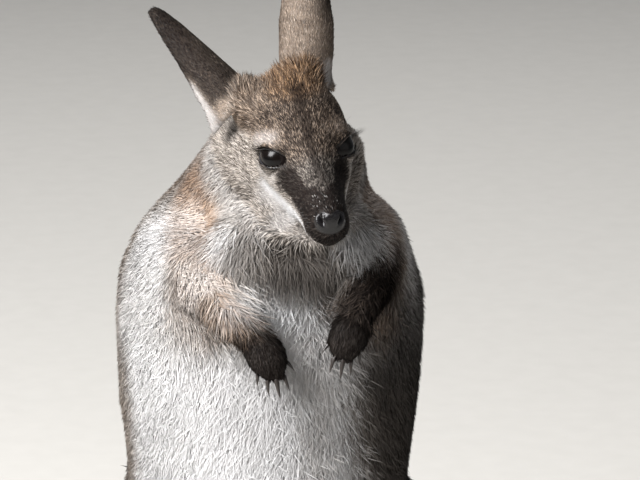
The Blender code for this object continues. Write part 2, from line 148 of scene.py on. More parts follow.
def points_of(mesh):
    return values_of(mesh.vertices, "co", 3)


def normals_of(mesh):
    return values_of(mesh.vertex_normals, "vector", 3)


def set_points(mesh, points):
    mesh.vertices.foreach_set("co", points.astype(np.float32).ravel())
    mesh.update()


def paint(mesh, name, *columns):
    """Stores three values for each point as a colour."""
    layer = mesh.color_attributes.new(name=name, type="FLOAT_COLOR", domain="POINT")
    values = np.stack([*columns, np.ones(len(mesh.vertices))], 1)
    layer.data.foreach_set("color", values.astype(np.float32).ravel())


def box_middle(node):
    return np.array(sum(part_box(node), Vector()) / 2)


def unit(vectors):
    return vectors / np.maximum(np.linalg.norm(vectors, axis=-1, keepdims=True), 1e-9)


def dot(a, b):
    return np.sum(a * b, axis=-1)


def ramp(low, high, values):
    """A smooth rise from 0 at low to 1 at high."""
    t = np.clip((values - low) / (high - low), 0, 1)
    return t * t * (3 - 2 * t)


def bump(values, width):
    """1 where the values are 0, falling smoothly to nothing a few widths away."""
    return np.exp(-((values / width) ** 2))


def mixed(a, b, share):
    return a + (b - a) * share


def placed(matrix, points):
    """The points, moved by the matrix."""
    return points @ np.array(matrix.to_3x3()).T + np.array(matrix.translation)


def as_left_half(local):
    """Places on the head, with those on its right half mirrored to its left."""
    return np.concatenate([np.abs(local[:, :1]), local[:, 1:]], 1)


def along_line(points, line):
    """Each point's distance from a line of straight lengths, and the way along it from 0 to 1."""
    line = np.array(line, float)
    best, place = np.full(len(points), 1e9), np.zeros(len(points))
    for i, (a, b) in enumerate(zip(line, line[1:])):
        t = np.clip((points - a) @ (b - a) / ((b - a) @ (b - a)), 0, 1)
        gap = np.linalg.norm(points - a - t[:, None] * (b - a), axis=1)
        place = np.where(gap < best, (i + t) / (len(line) - 1), place)
        best = np.minimum(gap, best)
    return best, place


def soft_spot(gap, inner, outer):
    """1 nearer than inner, fading to 0 at outer."""
    return 1 - ramp(inner, outer, gap)


def soft_line(points, line, inner, outer):
    return soft_spot(along_line(points, line)[0], inner, outer)


def swirls(points, size, seed, count=7):
    """Smooth noise from -1 to 1, with patches about this size."""
    rolls = np.random.default_rng(seed)
    total = 0
    for _ in range(count):
        way = unit(rolls.normal(size=3)) * rolls.uniform(0.7, 1.6)
        total = total + np.sin(points @ way * math.pi / size + rolls.uniform(0, 6.3))
    return total / count * 1.4


class Net:
    """A mesh's points and the edges between them, along which values spread."""

    def __init__(self, mesh):
        self.count = len(mesh.vertices)
        a, b = values_of(mesh.edges, "vertices", 2, np.int32).T
        self.here, self.there = np.concatenate([a, b]), np.concatenate([b, a])
        self.degree = np.maximum(np.bincount(self.here, minlength=self.count), 1)

    def mean(self, values):
        if values.ndim == 1:
            return np.bincount(self.here, values[self.there], self.count) / self.degree
        return np.stack([self.mean(column) for column in values.T], 1)

    def spread(self, values, rounds, share=0.5):
        """Draws each value towards its neighbours' mean, over and over."""
        share = np.asarray(share)
        share = share[:, None] if share.ndim and values.ndim > 1 else share
        for _ in range(rounds):
            values = values + (self.mean(values) - values) * share
        return values


# ------------------------------------------------------------------ the parts of the body


def kind_of(node):
    name = node.rsplit("_", 1)[0] if node.endswith(("left", "right")) else node
    return "tail" if name.startswith("tail") else name


KINDS = ("head", "ear", "neck", "trunk", "upper_arm", "forearm", "hand", "thigh", "shank", "foot", "tail")
FLESH_KIND = np.array([KINDS.index(kind_of(n)) for n in FLESH])

# The coat on each part: its depth over the skin, a tuft's length and width, all in mm, and the skin that one
# tuft has to cover, in mm2.
COAT = {
    "head": (3.0, 5.0, 0.62, 0.30),
    "ear": (0.6, 3.2, 0.55, 0.40),
    "neck": (6.0, 11.0, 0.7, 0.60),
    "trunk": (7.5, 14.5, 0.78, 1.0),
    "upper_arm": (6.5, 13.0, 0.95, 0.85),
    "forearm": (5.0, 12.0, 0.95, 0.8),
    "hand": (1.2, 4.2, 0.7, 0.5),
    "thigh": (8.0, 18.0, 1.2, 1.3),
    "shank": (4.0, 11.0, 1.2, 1.6),
    "foot": (1.6, 6.5, 1.0, 1.5),
    "tail": (5.0, 14.0, 1.3, 2.2),
}
DEPTH, LENGTH, WIDTH, COVER = (np.array([COAT[k][i] for k in KINDS]) for i in range(4))


def nearest_flesh(points):
    """Which flesh solid is nearest to each point, as its number in FLESH."""
    verts, faces, owner = [], [], []
    for number, name in enumerate(FLESH):
        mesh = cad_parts[name].data
        mesh.calc_loop_triangles()
        start = len(verts)
        verts += [v.co.copy() for v in mesh.vertices]
        faces += [[start + i for i in t.vertices] for t in mesh.loop_triangles]
        owner += [number] * len(mesh.loop_triangles)
    tree = BVHTree.FromPolygons(verts, faces)
    return np.array([owner[tree.find_nearest(p)[2]] for p in points.tolist()])


def ear_lines(side):
    """Where an ear starts, then its directions: ahead to its tip, the way it opens, and across."""
    root, ahead, opens = (Vector(v) for v in EARS[side][:3])
    ahead.normalize()
    opens = (opens - ahead * opens.dot(ahead)).normalized()
    return HEAD @ root, ahead, opens, ahead.cross(opens)


# ------------------------------------------------------------------ the skin's form

CUT = 0.45 * MM  # grown on every solid, to close the thin cuts between them
FUSED = 2.0 * MM  # how finely they are fused
FINE_HEAD, FINE_TOES, FINE_HAND = 0.095, 0.09, 0.005  # how far the fine form reaches at each, in m
KEPT_FACES = 0.20  # the share of the faces that is left once the broad parts are thinned


def flesh_copies():
    """The flesh solids but the ears in one mesh, each a little grown, so that they run into each other."""
    whole = bmesh.new()
    for name in FLESH:
        if name.startswith("ear"):
            continue
        piece = bmesh_of(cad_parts[name].data)
        bmesh.ops.remove_doubles(piece, verts=piece.verts[:], dist=1e-6)
        piece.normal_update()
        moves = [v.normal * CUT * min(v.calc_shell_factor(), 2) for v in piece.verts]
        for vert, move in zip(piece.verts, moves):
            vert.co += move
        mesh = stored(piece, bpy.data.meshes.new("copy"))
        whole.from_mesh(mesh)
        bpy.data.meshes.remove(mesh)
    return new_object("wallaby_skin", whole)


def fused_flesh():
    """The flesh as one closed mesh, finest on the head, hands and feet."""
    skin = flesh_copies()
    modify(skin, "REMESH", mode="VOXEL", voxel_size=FUSED)
    points = points_of(skin.data)
    local = placed(TO_HEAD, points)
    fine = np.linalg.norm(local - (0, -0.005, -0.005), axis=1) < FINE_HEAD
    fine |= (points[:, 1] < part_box("foot_left")[0].y + FINE_TOES) & (points[:, 2] < 0.05)
    for side in SIDES:
        low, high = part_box(f"hand_{side}")
        fine |= ((points > np.array(low) - FINE_HAND) & (points < np.array(high) + FINE_HAND)).all(1)
    group = skin.vertex_groups.new(name="broad")
    group.add(np.flatnonzero(~fine).tolist(), 1.0, "REPLACE")
    group.add(np.flatnonzero(fine).tolist(), 0.02, "REPLACE")
    modify(skin, "DECIMATE", ratio=KEPT_FACES, vertex_group="broad")
    skin.vertex_groups.clear()
    return skin


# How often the fused form is smoothed on each part, to lose its flat facets.
SMOOTHING = {"head": 7, "ear": 7, "neck": 22, "trunk": 26, "upper_arm": 12, "forearm": 8}
SMOOTHING |= {"hand": 2, "thigh": 14, "shank": 14, "foot": 5, "tail": 14}
MUZZLE_DEPTH = 1.0  # mm of coat at the muzzle


def settle_skin(skin):
    """Smooths the fused form and sinks it under the coat."""
    net = Net(skin.data)
    points = points_of(skin.data)
    kinds = FLESH_KIND[nearest_flesh(points)]
    rounds = np.array([SMOOTHING[k] for k in KINDS])[kinds]
    for turn in range(rounds.max()):
        points = net.spread(points, 1, 0.6 * (rounds > turn))
    depth = DEPTH[kinds]
    local = placed(TO_HEAD, points)
    on_head = KINDS.index("head") == kinds
    short = 1 - ramp(-0.055, -0.015, local[:, 1])
    for centre in EYE_CENTRES.values():
        short = np.maximum(short, 1 - ramp(0.014, 0.030, np.linalg.norm(points - np.array(centre), axis=1)))
    depth = np.where(on_head, mixed(depth, MUZZLE_DEPTH, short), depth)
    depth = net.spread(depth, 14)
    set_points(skin.data, points)
    normals = net.spread(normals_of(skin.data), 3)
    set_points(skin.data, net.spread(points - unit(normals) * depth[:, None] * MM, 3, 0.4))


EAR_WALL = 2.0 * MM
EAR_BURIED = 0.10  # how much of its length it starts inside the head
ROLL_AT_ROOT, ROLL_AT_TIP = 112, 50  # degrees, from the ear's middle to its edge


def ear_form(side):
    """A leaf rolled towards its root, with soft ridges in its hollow."""
    length, breadth = EARS[side][3:]
    start, ahead, opens, across = ear_lines(side)
    bm = bmesh.new()
    bmesh.ops.create_grid(bm, x_segments=30, y_segments=52, size=1)
    for vert in bm.verts:
        u, v = vert.co.x, mixed(-EAR_BURIED, 0.985, (vert.co.y + 1) / 2)
        half_width = breadth / 2 * np.interp(v, *zip(*EAR_WIDTHS[side])) * 0.97
        most_roll = math.radians(mixed(ROLL_AT_ROOT, ROLL_AT_TIP, v))
        bend = half_width / max(math.sin(most_roll), 0.9)
        roll = most_roll * u
        reach = length * (v - 0.10 * v * (1 - v) * u**2)
        ridges = 0.5 * MM * math.cos(3 * math.pi * u) * max(0, 1 - v) * (1 - u**2)
        depth = (bend + ridges) * (1 - math.cos(roll)) - half_width * 0.55
        vert.co = start + ahead * reach + across * bend * math.sin(roll) + opens * depth
    bmesh.ops.recalc_face_normals(bm, faces=bm.faces[:])
    ear = new_object("ear_form", bm)
    modify(ear, "SOLIDIFY", thickness=EAR_WALL, offset=0)
    return ear


def grow_ears(skin):
    """Joins the ears to the skin, and softens the skin at their roots."""
    for side in SIDES:
        ear = ear_form(side)
        modify(skin, "BOOLEAN", operation="UNION", solver="MANIFOLD", object=ear)
        bpy.data.objects.remove(ear)
    points = points_of(skin.data)
    near_root = np.zeros(len(points))
    for side in SIDES:
        start, ahead = ear_lines(side)[:2]
        q = points - np.array(start)
        up = q @ np.array(ahead)
        off = np.linalg.norm(q - up[:, None] * np.array(ahead), axis=1)
        beside = soft_spot(np.abs(up), 0.006, 0.022) * soft_spot(off, 0.024, 0.032)
        near_root = np.maximum(near_root, beside)
    set_points(skin.data, Net(skin.data).spread(points, 8, 0.6 * near_root))


def remove_flaps(bm):
    """Removes pairs of faces that lie back to back on the same three points."""
    faces_on = {}
    for face in bm.faces:
        faces_on.setdefault(frozenset(face.verts), []).append(face)
    flaps = [face for faces in faces_on.values() if len(faces) > 1 for face in faces]
    bmesh.ops.delete(bm, geom=flaps, context="FACES")


def leave_triangles(bm):
    """Splits every face with more corners than three."""
    bmesh.ops.triangulate(bm, faces=[f for f in bm.faces if len(f.verts) > 3])


def refine(skin, wanted):
    """Halves the edges whose ends are both wanted."""
    bm = bmesh_of(skin.data)
    bm.verts.ensure_lookup_table()
    chosen = [e for e in bm.edges if wanted[e.verts[0].index] and wanted[e.verts[1].index]]
    bmesh.ops.subdivide_edges(bm, edges=chosen, cuts=1, use_grid_fill=True)
    leave_triangles(bm)
    stored(bm, skin.data)


# ------------------------------------------------------------------ the face

GAZE = Vector((0.735, -0.660, 0.165))  # of the left eye
LID_FRONT, LID_BACK, LID_UP, LID_DOWN = 13.5 * MM, 13.4 * MM, 8.1 * MM, 4.6 * MM  # the opening's reaches
LID_POWER = 1.85  # how full the opening's outline is: 2 is an ellipse
LID_THICK, LID_REACH = 1.1 * MM, 19 * MM
LID_BLEND = 1.6 * MM  # how softly the lids run into the face
LID_CUT = 0.6  # the part of the opening that is cut away, as the rest is pushed out to its edge
LID_TURNS = ((0.45 * MM, 0.10 * MM), (1.1 * MM, -1.6 * MM))  # the edge's turns inwards, and their height
UPPER_CREASE, LOWER_CREASE = 3.4 * MM, 4.2 * MM  # from the opening's edge to each lid's crease
CREASE_DEPTH, CREASE_WIDTH = 0.4 * MM, 0.9 * MM
LID_SLOPE = math.radians(-3)  # how far the front corner is drawn down

NOSTRIL = [  # mm, from the wing of the nose, through the hole, to the groove in the middle
    (8.0, -75.2, -5.4),
    (8.1, -78.6, -9.6),
    (5.4, -81.6, -14.0),
    (1.6, -82.6, -18.0),
]
MOUTH = [  # mm, from the middle of the upper lip back to the corner
    (0, -82.0, -24.5),
    (6, -79.0, -25.6),
    (11.5, -68.0, -27.4),
    (15.0, -52.0, -28.6),
    (18.0, -38.0, -29.6),
]
GROOVE = [(0, -83, -17), (0, -82, -24)]  # mm, in the middle of the nose
PAD_EDGE = [(0, -77.5, -1.0), (6.5, -76, -2.5), (9.5, -73.5, -8)]


def eye_lines(side):
    """An eye's directions: out along its gaze, to its front corner, and up."""
    gaze = Vector((GAZE.x * SIDES[side], GAZE.y, GAZE.z)).normalized()
    front = Vector((gaze.y * SIDES[side], -abs(gaze.x), 0))
    front = (front - gaze * front.dot(gaze)).normalized()
    up = gaze.cross(front) * SIDES[side]
    if up.z < 0:
        up.negate()
    front, up = (
        front * math.cos(LID_SLOPE) - up * math.sin(LID_SLOPE),
        up * math.cos(LID_SLOPE) + front * math.sin(LID_SLOPE),
    )
    turn = HEAD.to_3x3()
    return turn @ gaze, turn @ front, turn @ up


def lid_edge(a, b):
    """How far the opening's edge is from its middle, on the way to (a, b)."""
    across = np.where(a > 0, LID_FRONT, LID_BACK)
    along = np.where(b > 0, LID_UP, LID_DOWN)
    r = np.hypot(a, b) + 1e-12
    sum_of_powers = np.abs(a / r / across) ** LID_POWER + np.abs(b / r / along) ** LID_POWER
    return sum_of_powers ** (-1 / LID_POWER)


def lid_height(native, r, off, crease):
    """A lid's height along the gaze: over the eyeball at the opening's edge, then into the face."""
    dome = math.sqrt(max((EYE_RADIUS + LID_THICK) ** 2 - r**2, 0))
    over_both = max(native, dome) + 0.5 * LID_BLEND * math.exp(-abs(native - dome) / LID_BLEND)
    height = mixed(dome, over_both, ramp(0, 4.5 * MM, off)) - CREASE_DEPTH * bump(off - crease, CREASE_WIDTH)
    return mixed(height, native, ramp(0.7 * LID_REACH, 0.95 * LID_REACH, r))


def open_edges(verts):
    edges = dict.fromkeys(e for v in verts for e in v.link_edges)  # once each, in a fixed order
    return [e for e in edges if e.is_boundary]


def open_lids(bm, side, rim):
    """Opens the skin over an eyeball, drapes lids over it and turns their edges in."""
    centre = EYE_CENTRES[side]
    gaze, front, up = eye_lines(side)
    face = BVHTree.FromBMesh(bm)

    def flat(point):
        q = point - centre
        return q.dot(front), q.dot(up)

    def over(a, b, height):
        return centre + front * a + up * b + gaze * height

    near = []
    for vert in bm.verts:
        if (vert.co - centre).dot(gaze) > -14 * MM and math.hypot(*flat(vert.co)) < LID_REACH:
            near.append(vert)
    cut = [v for v in near if math.hypot(*flat(v.co)) < LID_CUT * lid_edge(*flat(v.co))]
    while cut:
        bmesh.ops.delete(bm, geom=cut, context="VERTS")
        near = [v for v in near if v.is_valid]
        cut = [v for v in near if sum(e.is_boundary for e in v.link_edges) > 2 or not v.link_faces]
    edge_verts = [v for v in near if any(e.is_boundary for e in v.link_edges)]
    on_edge = set(edge_verts)
    for vert in near:
        a, b = flat(vert.co)
        r, edge = math.hypot(a, b), lid_edge(a, b)
        spread = edge + (r - LID_CUT * edge) * (LID_REACH - edge) / (LID_REACH - LID_CUT * edge)
        new_r = edge if vert in on_edge else max(spread, edge * 1.01)
        new_r = mixed(new_r, r, ramp(0.80 * LID_REACH, LID_REACH, r))
        a, b = a * new_r / r, b * new_r / r
        hit = face.ray_cast(over(a, b, 40 * MM), -gaze)[0]
        native = (hit - centre).dot(gaze) if hit else 10 * MM
        crease = UPPER_CREASE if b > 0 else LOWER_CREASE
        vert.co = over(a, b, lid_height(native, new_r, new_r - edge, crease))
    relax(near, edge_verts)
    ring = edge_verts
    for inward, height in LID_TURNS:
        made = bmesh.ops.extrude_edge_only(bm, edges=open_edges(ring))["geom"]
        ring = [v for v in made if isinstance(v, bmesh.types.BMVert)]
        for vert in ring:
            a, b = flat(vert.co)
            r = math.hypot(a, b)
            new_r = max(r - inward, 1 * MM)
            above = math.sqrt(max((EYE_RADIUS + height) ** 2 - new_r**2, MM**2))
            vert.co = over(a * new_r / r, b * new_r / r, above)
            vert[rim] = 1.0
    bmesh.ops.holes_fill(bm, edges=open_edges(ring), sides=0)
    for vert in edge_verts:
        vert[rim] = 0.7


def relax(verts, fixed):
    """Evens out the spacing of the points."""
    fixed = set(fixed)
    free = [v for v in verts if v not in fixed]
    for _ in range(4):
        means = [sum((e.other_vert(v).co for e in v.link_edges), Vector()) / len(v.link_edges) for v in free]
        for vert, mean in zip(free, means):
            vert.co = vert.co.lerp(mean, 0.4)


def carve_face(skin):
    """Nostrils, the nose's edge and middle groove, the mouth's line and the lips' soft edges, all in mm."""
    net = Net(skin.data)
    points, normals = points_of(skin.data), normals_of(skin.data)
    local = placed(TO_HEAD, points) / MM
    folded = as_left_half(local)
    ahead = local[:, 1] < -20
    gap, place = along_line(folded, NOSTRIL)
    hole = 3.6 * bump(gap, 1.5) * bump(place - 0.36, 0.24)
    hole = hole + 0.9 * bump(gap, 0.9) * (1 - ramp(0.75, 1.0, place))
    wing = 0.7 * bump(gap - 3.2, 1.2) * bump(place - 0.3, 0.3)
    gap, place = along_line(folded, MOUTH)
    mouth = (1.7 * bump(gap, 0.8) - 0.5 * bump(gap - 2.4, 1.3)) * (1 - 0.6 * ramp(0.8, 1.0, place))
    groove = 0.9 * bump(along_line(folded, GROOVE)[0], 0.8)
    pad_edge = 0.5 * bump(along_line(folded, PAD_EDGE)[0], 0.9)
    sunk = np.where(ahead, hole - wing + mouth + groove + pad_edge, 0)
    shift = normals * (sunk * MM)[:, None]
    set_points(skin.data, net.spread(points - shift, 1, 0.25 * (sunk != 0)))


def shape_face(skin):
    """Refines the skin round the face, and works the nose, mouth and lids into it."""
    local = placed(TO_HEAD, points_of(skin.data))
    refine(skin, (local[:, 1] < 0.012) & (np.linalg.norm(local - (0, -0.02, -0.004), axis=1) < 0.066))
    points = points_of(skin.data)
    local = placed(TO_HEAD, points)
    on_face = (local[:, 1] < 0.05) * (local[:, 2] > -0.06)
    set_points(skin.data, Net(skin.data).spread(points, 4, 0.5 * on_face))
    points = points_of(skin.data)
    local = placed(TO_HEAD, points)
    close = np.zeros(len(points), bool)
    for side in SIDES:
        gaze = np.array(eye_lines(side)[0])
        q = points - np.array(EYE_CENTRES[side])
        close |= (np.linalg.norm(q - (q @ gaze)[:, None] * gaze, axis=1) < 0.8 * LID_REACH) & (q @ gaze > 0)
    close |= (local[:, 1] < -0.066) | ((local[:, 1] < -0.030) & (np.abs(local[:, 2] + 0.028) < 0.006))
    close &= (np.linalg.norm(local, axis=1) < 0.1) & (local[:, 2] > -0.036)
    refine(skin, close)
    carve_face(skin)
    bm = bmesh_of(skin.data)
    rim = bm.verts.layers.float.new("rim")
    for side in SIDES:
        open_lids(bm, side, rim)
    leave_triangles(bm)
    remove_flaps(bm)
    bmesh.ops.recalc_face_normals(bm, faces=bm.faces[:])
    stored(bm, skin.data)


# ------------------------------------------------------------------ the coat at each place of the skin

BODY_MIDDLE = -0.295  # the upright body's middle in Y

# Lines that the coat's markings, its painted shadows and its length follow, in mm, each with the distances
# from it at which they start and end to fade.
BODY_LINES = {
    "bib": ([(0, -430, 430), (10, -430, 415)], 26, 52),
    "long bib": ([(-20, -430, 440), (15, -430, 415)], 20, 50),
    "upper bib": ([(-20, -420, 445), (0, -420, 415)], 15, 45),
    "chest": ([(-45, -410, 455), (30, -420, 455)], 20, 40),
    "throat": ([(-20, -430, 470), (20, -430, 460)], 30, 70),
    # painted shadow of the head, under the chin
    "shadow under chin": ([(-12, -425, 466), (4, -433, 462), (20, -435, 450), (34, -430, 424)], 8, 30),
    # painted shadow below the cheek, beside the chin
    "shadow beside chin": ([(-34, -412, 471), (-40, -415, 452)], 6, 20),
    "nape": ([(0, -270, 500), (0, -200, 440)], 30, 90),
    "shoulder": ([(50, -330, 490), (62, -385, 455), (68, -400, 420)], 12, 34),
    "right cuff": ([(-64, -418, 428), (-56, -432, 418), (-48, -442, 408)], 8, 17),
    "over arms": ([(-46, -424, 437), (-34, -420, 427), (-14, -410, 414), (6, -413, 404)], 8, 30),
}
# The same on the head, in its own directions, with the mark and how strong it is. Both halves are marked.
HEAD_MARKS = (
    ("warm", 0.90, [(0, 34, 36), (0, 66, 30)], 10, 34),  # the crown
    ("dark", 0.42, [(36, 16, -34), (30, 2, -40), (24, -10, -42)], 7, 17),  # the edge of the jaw
    ("pale", 0.88, [(9, -66, -33), (16, -44, -33), (24, -18, -30), (31, 0, -27)], 5.5, 14),
    ("pale", 0.80, [(11, -60, -36), (18, -42, -38), (25, -20, -36)], 6, 14),  # both: the cheek's stripe
    ("pale", 0.10, [(0, -40, -46), (0, 30, -50)], 16, 34),  # under the jaw
    ("pale", 0.15, [(28, -12, -12), (34, 6, -12)], 4, 10),  # under the eye
    ("dark", 0.99, [(0, -84, -8), (6, -72, -8), (8, -58, -8)], 10, 17),  # the end of the muzzle
    ("dark", 0.98, [(19, -30, -4), (14.5, -50, -9), (11, -70, -16)], 8.5, 14),  # its side
    ("dark", 0.92, [(21, -13, 1), (19, -30, -5)], 4.5, 9),  # on to the eye's front corner
    ("dark", 0.85, [(12, -24, 9), (11, -52, 1)], 7, 14),  # beside the bridge
    ("dark", 0.88, [(19, -23, -6), (21.5, -22, -11)], 3.5, 8),  # below the eye's front corner
    ("dark", 0.98, [(0, -82, -22), (7, -78, -23)], 4, 7),  # the upper lip
    ("dark", 0.90, [(0, -70, 1), (0, -44, 9)], 8, 18),  # the bridge of the nose
    ("dark", 0.92, [(0, -50, 8), (0, -20, 19), (0, 10, 31), (0, 26, 35)], 4, 15),  # up to the forehead
    ("dark", 0.98, [(0, -78, -30), (4, -68, -34)], 8, 13),  # the chin
)
BROW = [(23, -3, 15.5), (28, 4, 13), (33, 16, 8)]
NOSE_PAD = [(0, -85, -14), (6.5, -81, -11)]
LEFT_EAR_FOOT = [(24, 49, 30), (29, 56, 32)]
RIGHT_EAR_FOLD = [(-40, 47, 7), (-48, 40, 22)]


class Places:
    """Every point of the skin, with the parts of the body that it belongs to."""

    def __init__(self, skin):
        self.mesh = skin.data
        self.net = Net(skin.data)
        self.points = points_of(skin.data)
        self.normals = normals_of(skin.data)
        self.local = placed(TO_HEAD, self.points) / MM
        self.folded = as_left_half(self.local)
        self.flesh = nearest_flesh(self.points)
        self.kinds = FLESH_KIND[self.flesh]
        self.rim = values_of(skin.data.attributes["rim"].data, "value")
        x, y, z = self.points.T
        # the side of the body, or of the head, whose middle is beside the body's
        self.side = np.sign(x - BETWEEN_EYES.x * (z > 0.5))
        # degrees round the body from its front, more on its left side
        self.turn = np.degrees(np.arctan2(x, BODY_MIDDLE - y))
        self.lids = lids_at(self)
        self.shares = {}

    def share(self, *kinds, rounds=10):
        """How much each point belongs to these parts, softened where they meet."""
        key = (kinds, rounds)
        if key not in self.shares:
            inside = np.isin(self.kinds, [KINDS.index(k) for k in kinds]).astype(float)
            self.shares[key] = self.net.spread(inside, rounds)
        return self.shares[key]

    def near(self, name, side=1):
        """How near each point is to one of the body's lines, or to its mirror image."""
        line, inner, outer = BODY_LINES[name]
        return soft_line(self.points / MM, np.array(line) * (side, 1, 1), inner, outer)

    def in_ear(self, side):
        """One ear's share, and how far along it, across it and turned into its hollow each point is."""
        start, ahead, opens, across = (np.array(v) for v in ear_lines(side))
        length, breadth = EARS[side][3:]
        own = self.net.spread((self.flesh == FLESH.index(f"ear_{side}")).astype(float), 6)
        q = self.points - start
        along = q @ ahead / length
        middle = q - (q @ ahead)[:, None] * ahead - opens * breadth * 0.22
        inward = -dot(self.normals, unit(middle))
        return own, along, q @ across / (breadth / 2), ramp(-0.1, 0.4, inward)


def lie_of_coat(at):
    """The way the hair points at each place, along the skin."""
    turn = np.array(HEAD.to_3x3())
    side = at.side[:, None]
    y, z = at.points.T[1:]
    down = np.array((0, 0.22, -1.0))
    outwards = side * (0.25, 0, 0) * ramp(0.36, 0.46, z)[:, None]
    straight = np.array((0, 0.22, 0)) * (y < -0.35)[:, None]
    tail_slope = -1.1 * ramp(0.14, -0.02, y)
    from_nose = at.local - (0, -90, -12)
    ways = {
        "head": unit(unit(from_nose) + (0, 0.25, 0)) @ turn.T,
        "neck": unit(down + side * (0.30, 0, 0)),
        "trunk": unit(down + outwards - straight),
        "upper_arm": unit(side * (0.45, 0, 0) + (0, 0.25, -1)),
        "thigh": np.array((0, -0.25, -1.0)),
        "shank": np.array((0, 0.75, -0.75)),
        "foot": np.array((0, -1.0, -0.1)),
        "tail": unit(np.stack([0 * y, 1 + 0 * y, tail_slope], 1)),
        "hand": side * (-0.15, 0, 0) + (0, -0.35, -1.0),
    }
    lie = np.zeros_like(at.points)
    for name, way in ways.items():
        lie = np.where((at.kinds == KINDS.index(name))[:, None], way, lie)
    for number, name in enumerate(FLESH):
        own = (at.flesh == number)[:, None]
        if name.startswith("forearm"):
            hand = box_middle(name.replace("forearm", "hand"))
            lie = np.where(own, unit(hand - box_middle(name)), lie)
        if name.startswith("ear"):
            lie = np.where(own, np.array(ear_lines(name.split("_")[1])[1]), lie)
    over = bib_over_arms(at)[:, None]
    lie = at.net.spread(unit(mixed(unit(lie), unit(np.array((0.25, -0.35, -1.0))[None]), over)), 12)
    wander = np.stack([swirls(at.points, 0.035, 40 + i) for i in range(3)], 1)
    tousle = np.stack([swirls(at.points, 0.010, 50 + i) for i in range(3)], 1)
    loose = at.share("trunk", "neck", "thigh") * (1 - ramp(-0.34, -0.28, y))
    lie = unit(lie) + 0.16 * wander + 0.28 * loose[:, None] * tousle
    return unit(lie - dot(lie, at.normals)[:, None] * at.normals)


def bib_over_arms(at):
    """How much each place lies under the long pale hair that hangs from the chest over the arms."""
    facing = ramp(-0.1, 0.4, at.normals[:, 2] - 0.2 * at.normals[:, 1])
    share = at.near("over arms") * facing
    return at.net.spread(share * (1 - at.share("hand", rounds=3)), 3)


def lids_at(at):
    """How far each point is outside the nearer eye's opening, in mm."""
    gap = np.full(len(at.points), 99.0)
    for side in SIDES:
        gaze, front, up = (np.array(v) for v in eye_lines(side))
        q = at.points - np.array(EYE_CENTRES[side])
        a, b = q @ front, q @ up
        outside = (np.hypot(a, b) - lid_edge(a, b)) / MM
        gap = np.minimum(gap, np.where(q @ gaze > 0, outside, 99))
    return gap


EYE_LINE_BACK, EYE_LINE_FRONT = 0.0225, 0.0185  # how far the dark line runs each way from an eye's middle


def corners_at(at):
    """Each point's distance in mm from the line through an eye's corners, which runs a little past them."""
    gap = np.full(len(at.points), 99.0)
    for side in SIDES:
        gaze, front, up = (np.array(v) for v in eye_lines(side))
        middle = np.array(EYE_CENTRES[side]) + gaze * 0.003
        line = [middle - front * EYE_LINE_BACK - up * 0.002, middle + front * EYE_LINE_FRONT]
        gap = np.minimum(gap, along_line(at.points, line)[0] / MM)
    return gap - 2


def ear_fold(at):
    """How near each place is to the fold where the right ear's front edge meets the head."""
    return soft_line(at.local, RIGHT_EAR_FOLD, 5, 12)


class Marks:
    """How dark, pale and warm the coat is at each place, and how bare the skin is, from 0 to 1."""

    def __init__(self, count):
        self.dark, self.pale, self.warm, self.bare = np.zeros((4, count))

    def at_least(self, name, values):
        setattr(self, name, np.maximum(getattr(self, name), values))

    def less(self, name, share):
        setattr(self, name, getattr(self, name) * (1 - share))


def mark_head(at, marks):
    """A grizzled brown crown, a black muzzle, a pale stripe along the cheek and a pale brow."""
    folded, head = at.folded, at.share("head", rounds=4)
    well_inside = ramp(0.2, 0.8, head)
    for name, strength, line, inner, outer in HEAD_MARKS:
        marks.at_least(name, strength * soft_line(folded, line, inner, outer) * well_inside)
    crown = head * ramp(-2, 12, folded[:, 2]) * ramp(-40, -20, folded[:, 1])
    marks.at_least("warm", 0.45 * crown)
    marks.at_least("dark", mixed(0.88, 0.45, ramp(16, 46, folded[:, 1])) * crown)
    marks.at_least("dark", 0.95 * soft_spot(at.lids, 0.7, 2.5) * (head > 0.5))
    marks.at_least("dark", 0.95 * soft_spot(corners_at(at), 1.3, 3.2) * (head > 0.5))
    brow = soft_line(folded, BROW, 0, 11) * well_inside * ramp(0.8, 2.5, at.lids)
    # painted shade: the brow on the head's left, turned from the light, is kept faint
    brow *= mixed(1, 0.4, at.local[:, 0] > 0)
    marks.less("pale", 0.9 * marks.dark)
    marks.less("dark", 0.8 * brow)
    marks.at_least("pale", 0.40 * brow)


def mark_ears(at, marks):
    """Dark at the tip and rims, and pale at the foot of the outer edge."""
    for side in SIDES:
        right = side == "right"
        own, along, across, hollow = at.in_ear(side)
        opens, sideways = ear_lines(side)[2:]
        outer = across * (-1 if right else 1) * np.sign(sideways.x)
        base = mixed(0.74, 0.92, ramp(-0.6, 0.3, outer)) if right else 0.38
        marks.at_least("dark", own * mixed(base, 0.98, ramp(0.45, 0.95, along + 0.25 * outer)))
        rim = 0.80 if right else 0.50
        marks.at_least("dark", own * rim * ramp(0.55, 0.95, np.abs(across)) * ramp(0.10, 0.35, along))
        marks.less("warm", own)
        marks.at_least("warm", own * 0.35 * (1 - hollow))
        edge, end = (-0.30, 0.28) if right else (-0.10, 0.10)
        fringe = ramp(edge, edge + 0.28, at.normals @ np.array(opens)) * (1 - hollow) * 0.75
        fringe *= own * (1 - ramp(end, end + 0.15, along))
        marks.less("pale", own)
        marks.at_least("pale", np.maximum(fringe * 0.95, own * hollow * 0.15))
        marks.less("dark", 0.9 * fringe)
        marks.at_least("bare", own * hollow * ramp(0.02, 0.15, along) * 0.40)
    foot = soft_line(at.local, LEFT_EAR_FOOT, 4, 11)
    marks.less("dark", foot)
    marks.at_least("pale", 0.45 * foot)
    marks.less("dark", 0.6 * ear_fold(at))


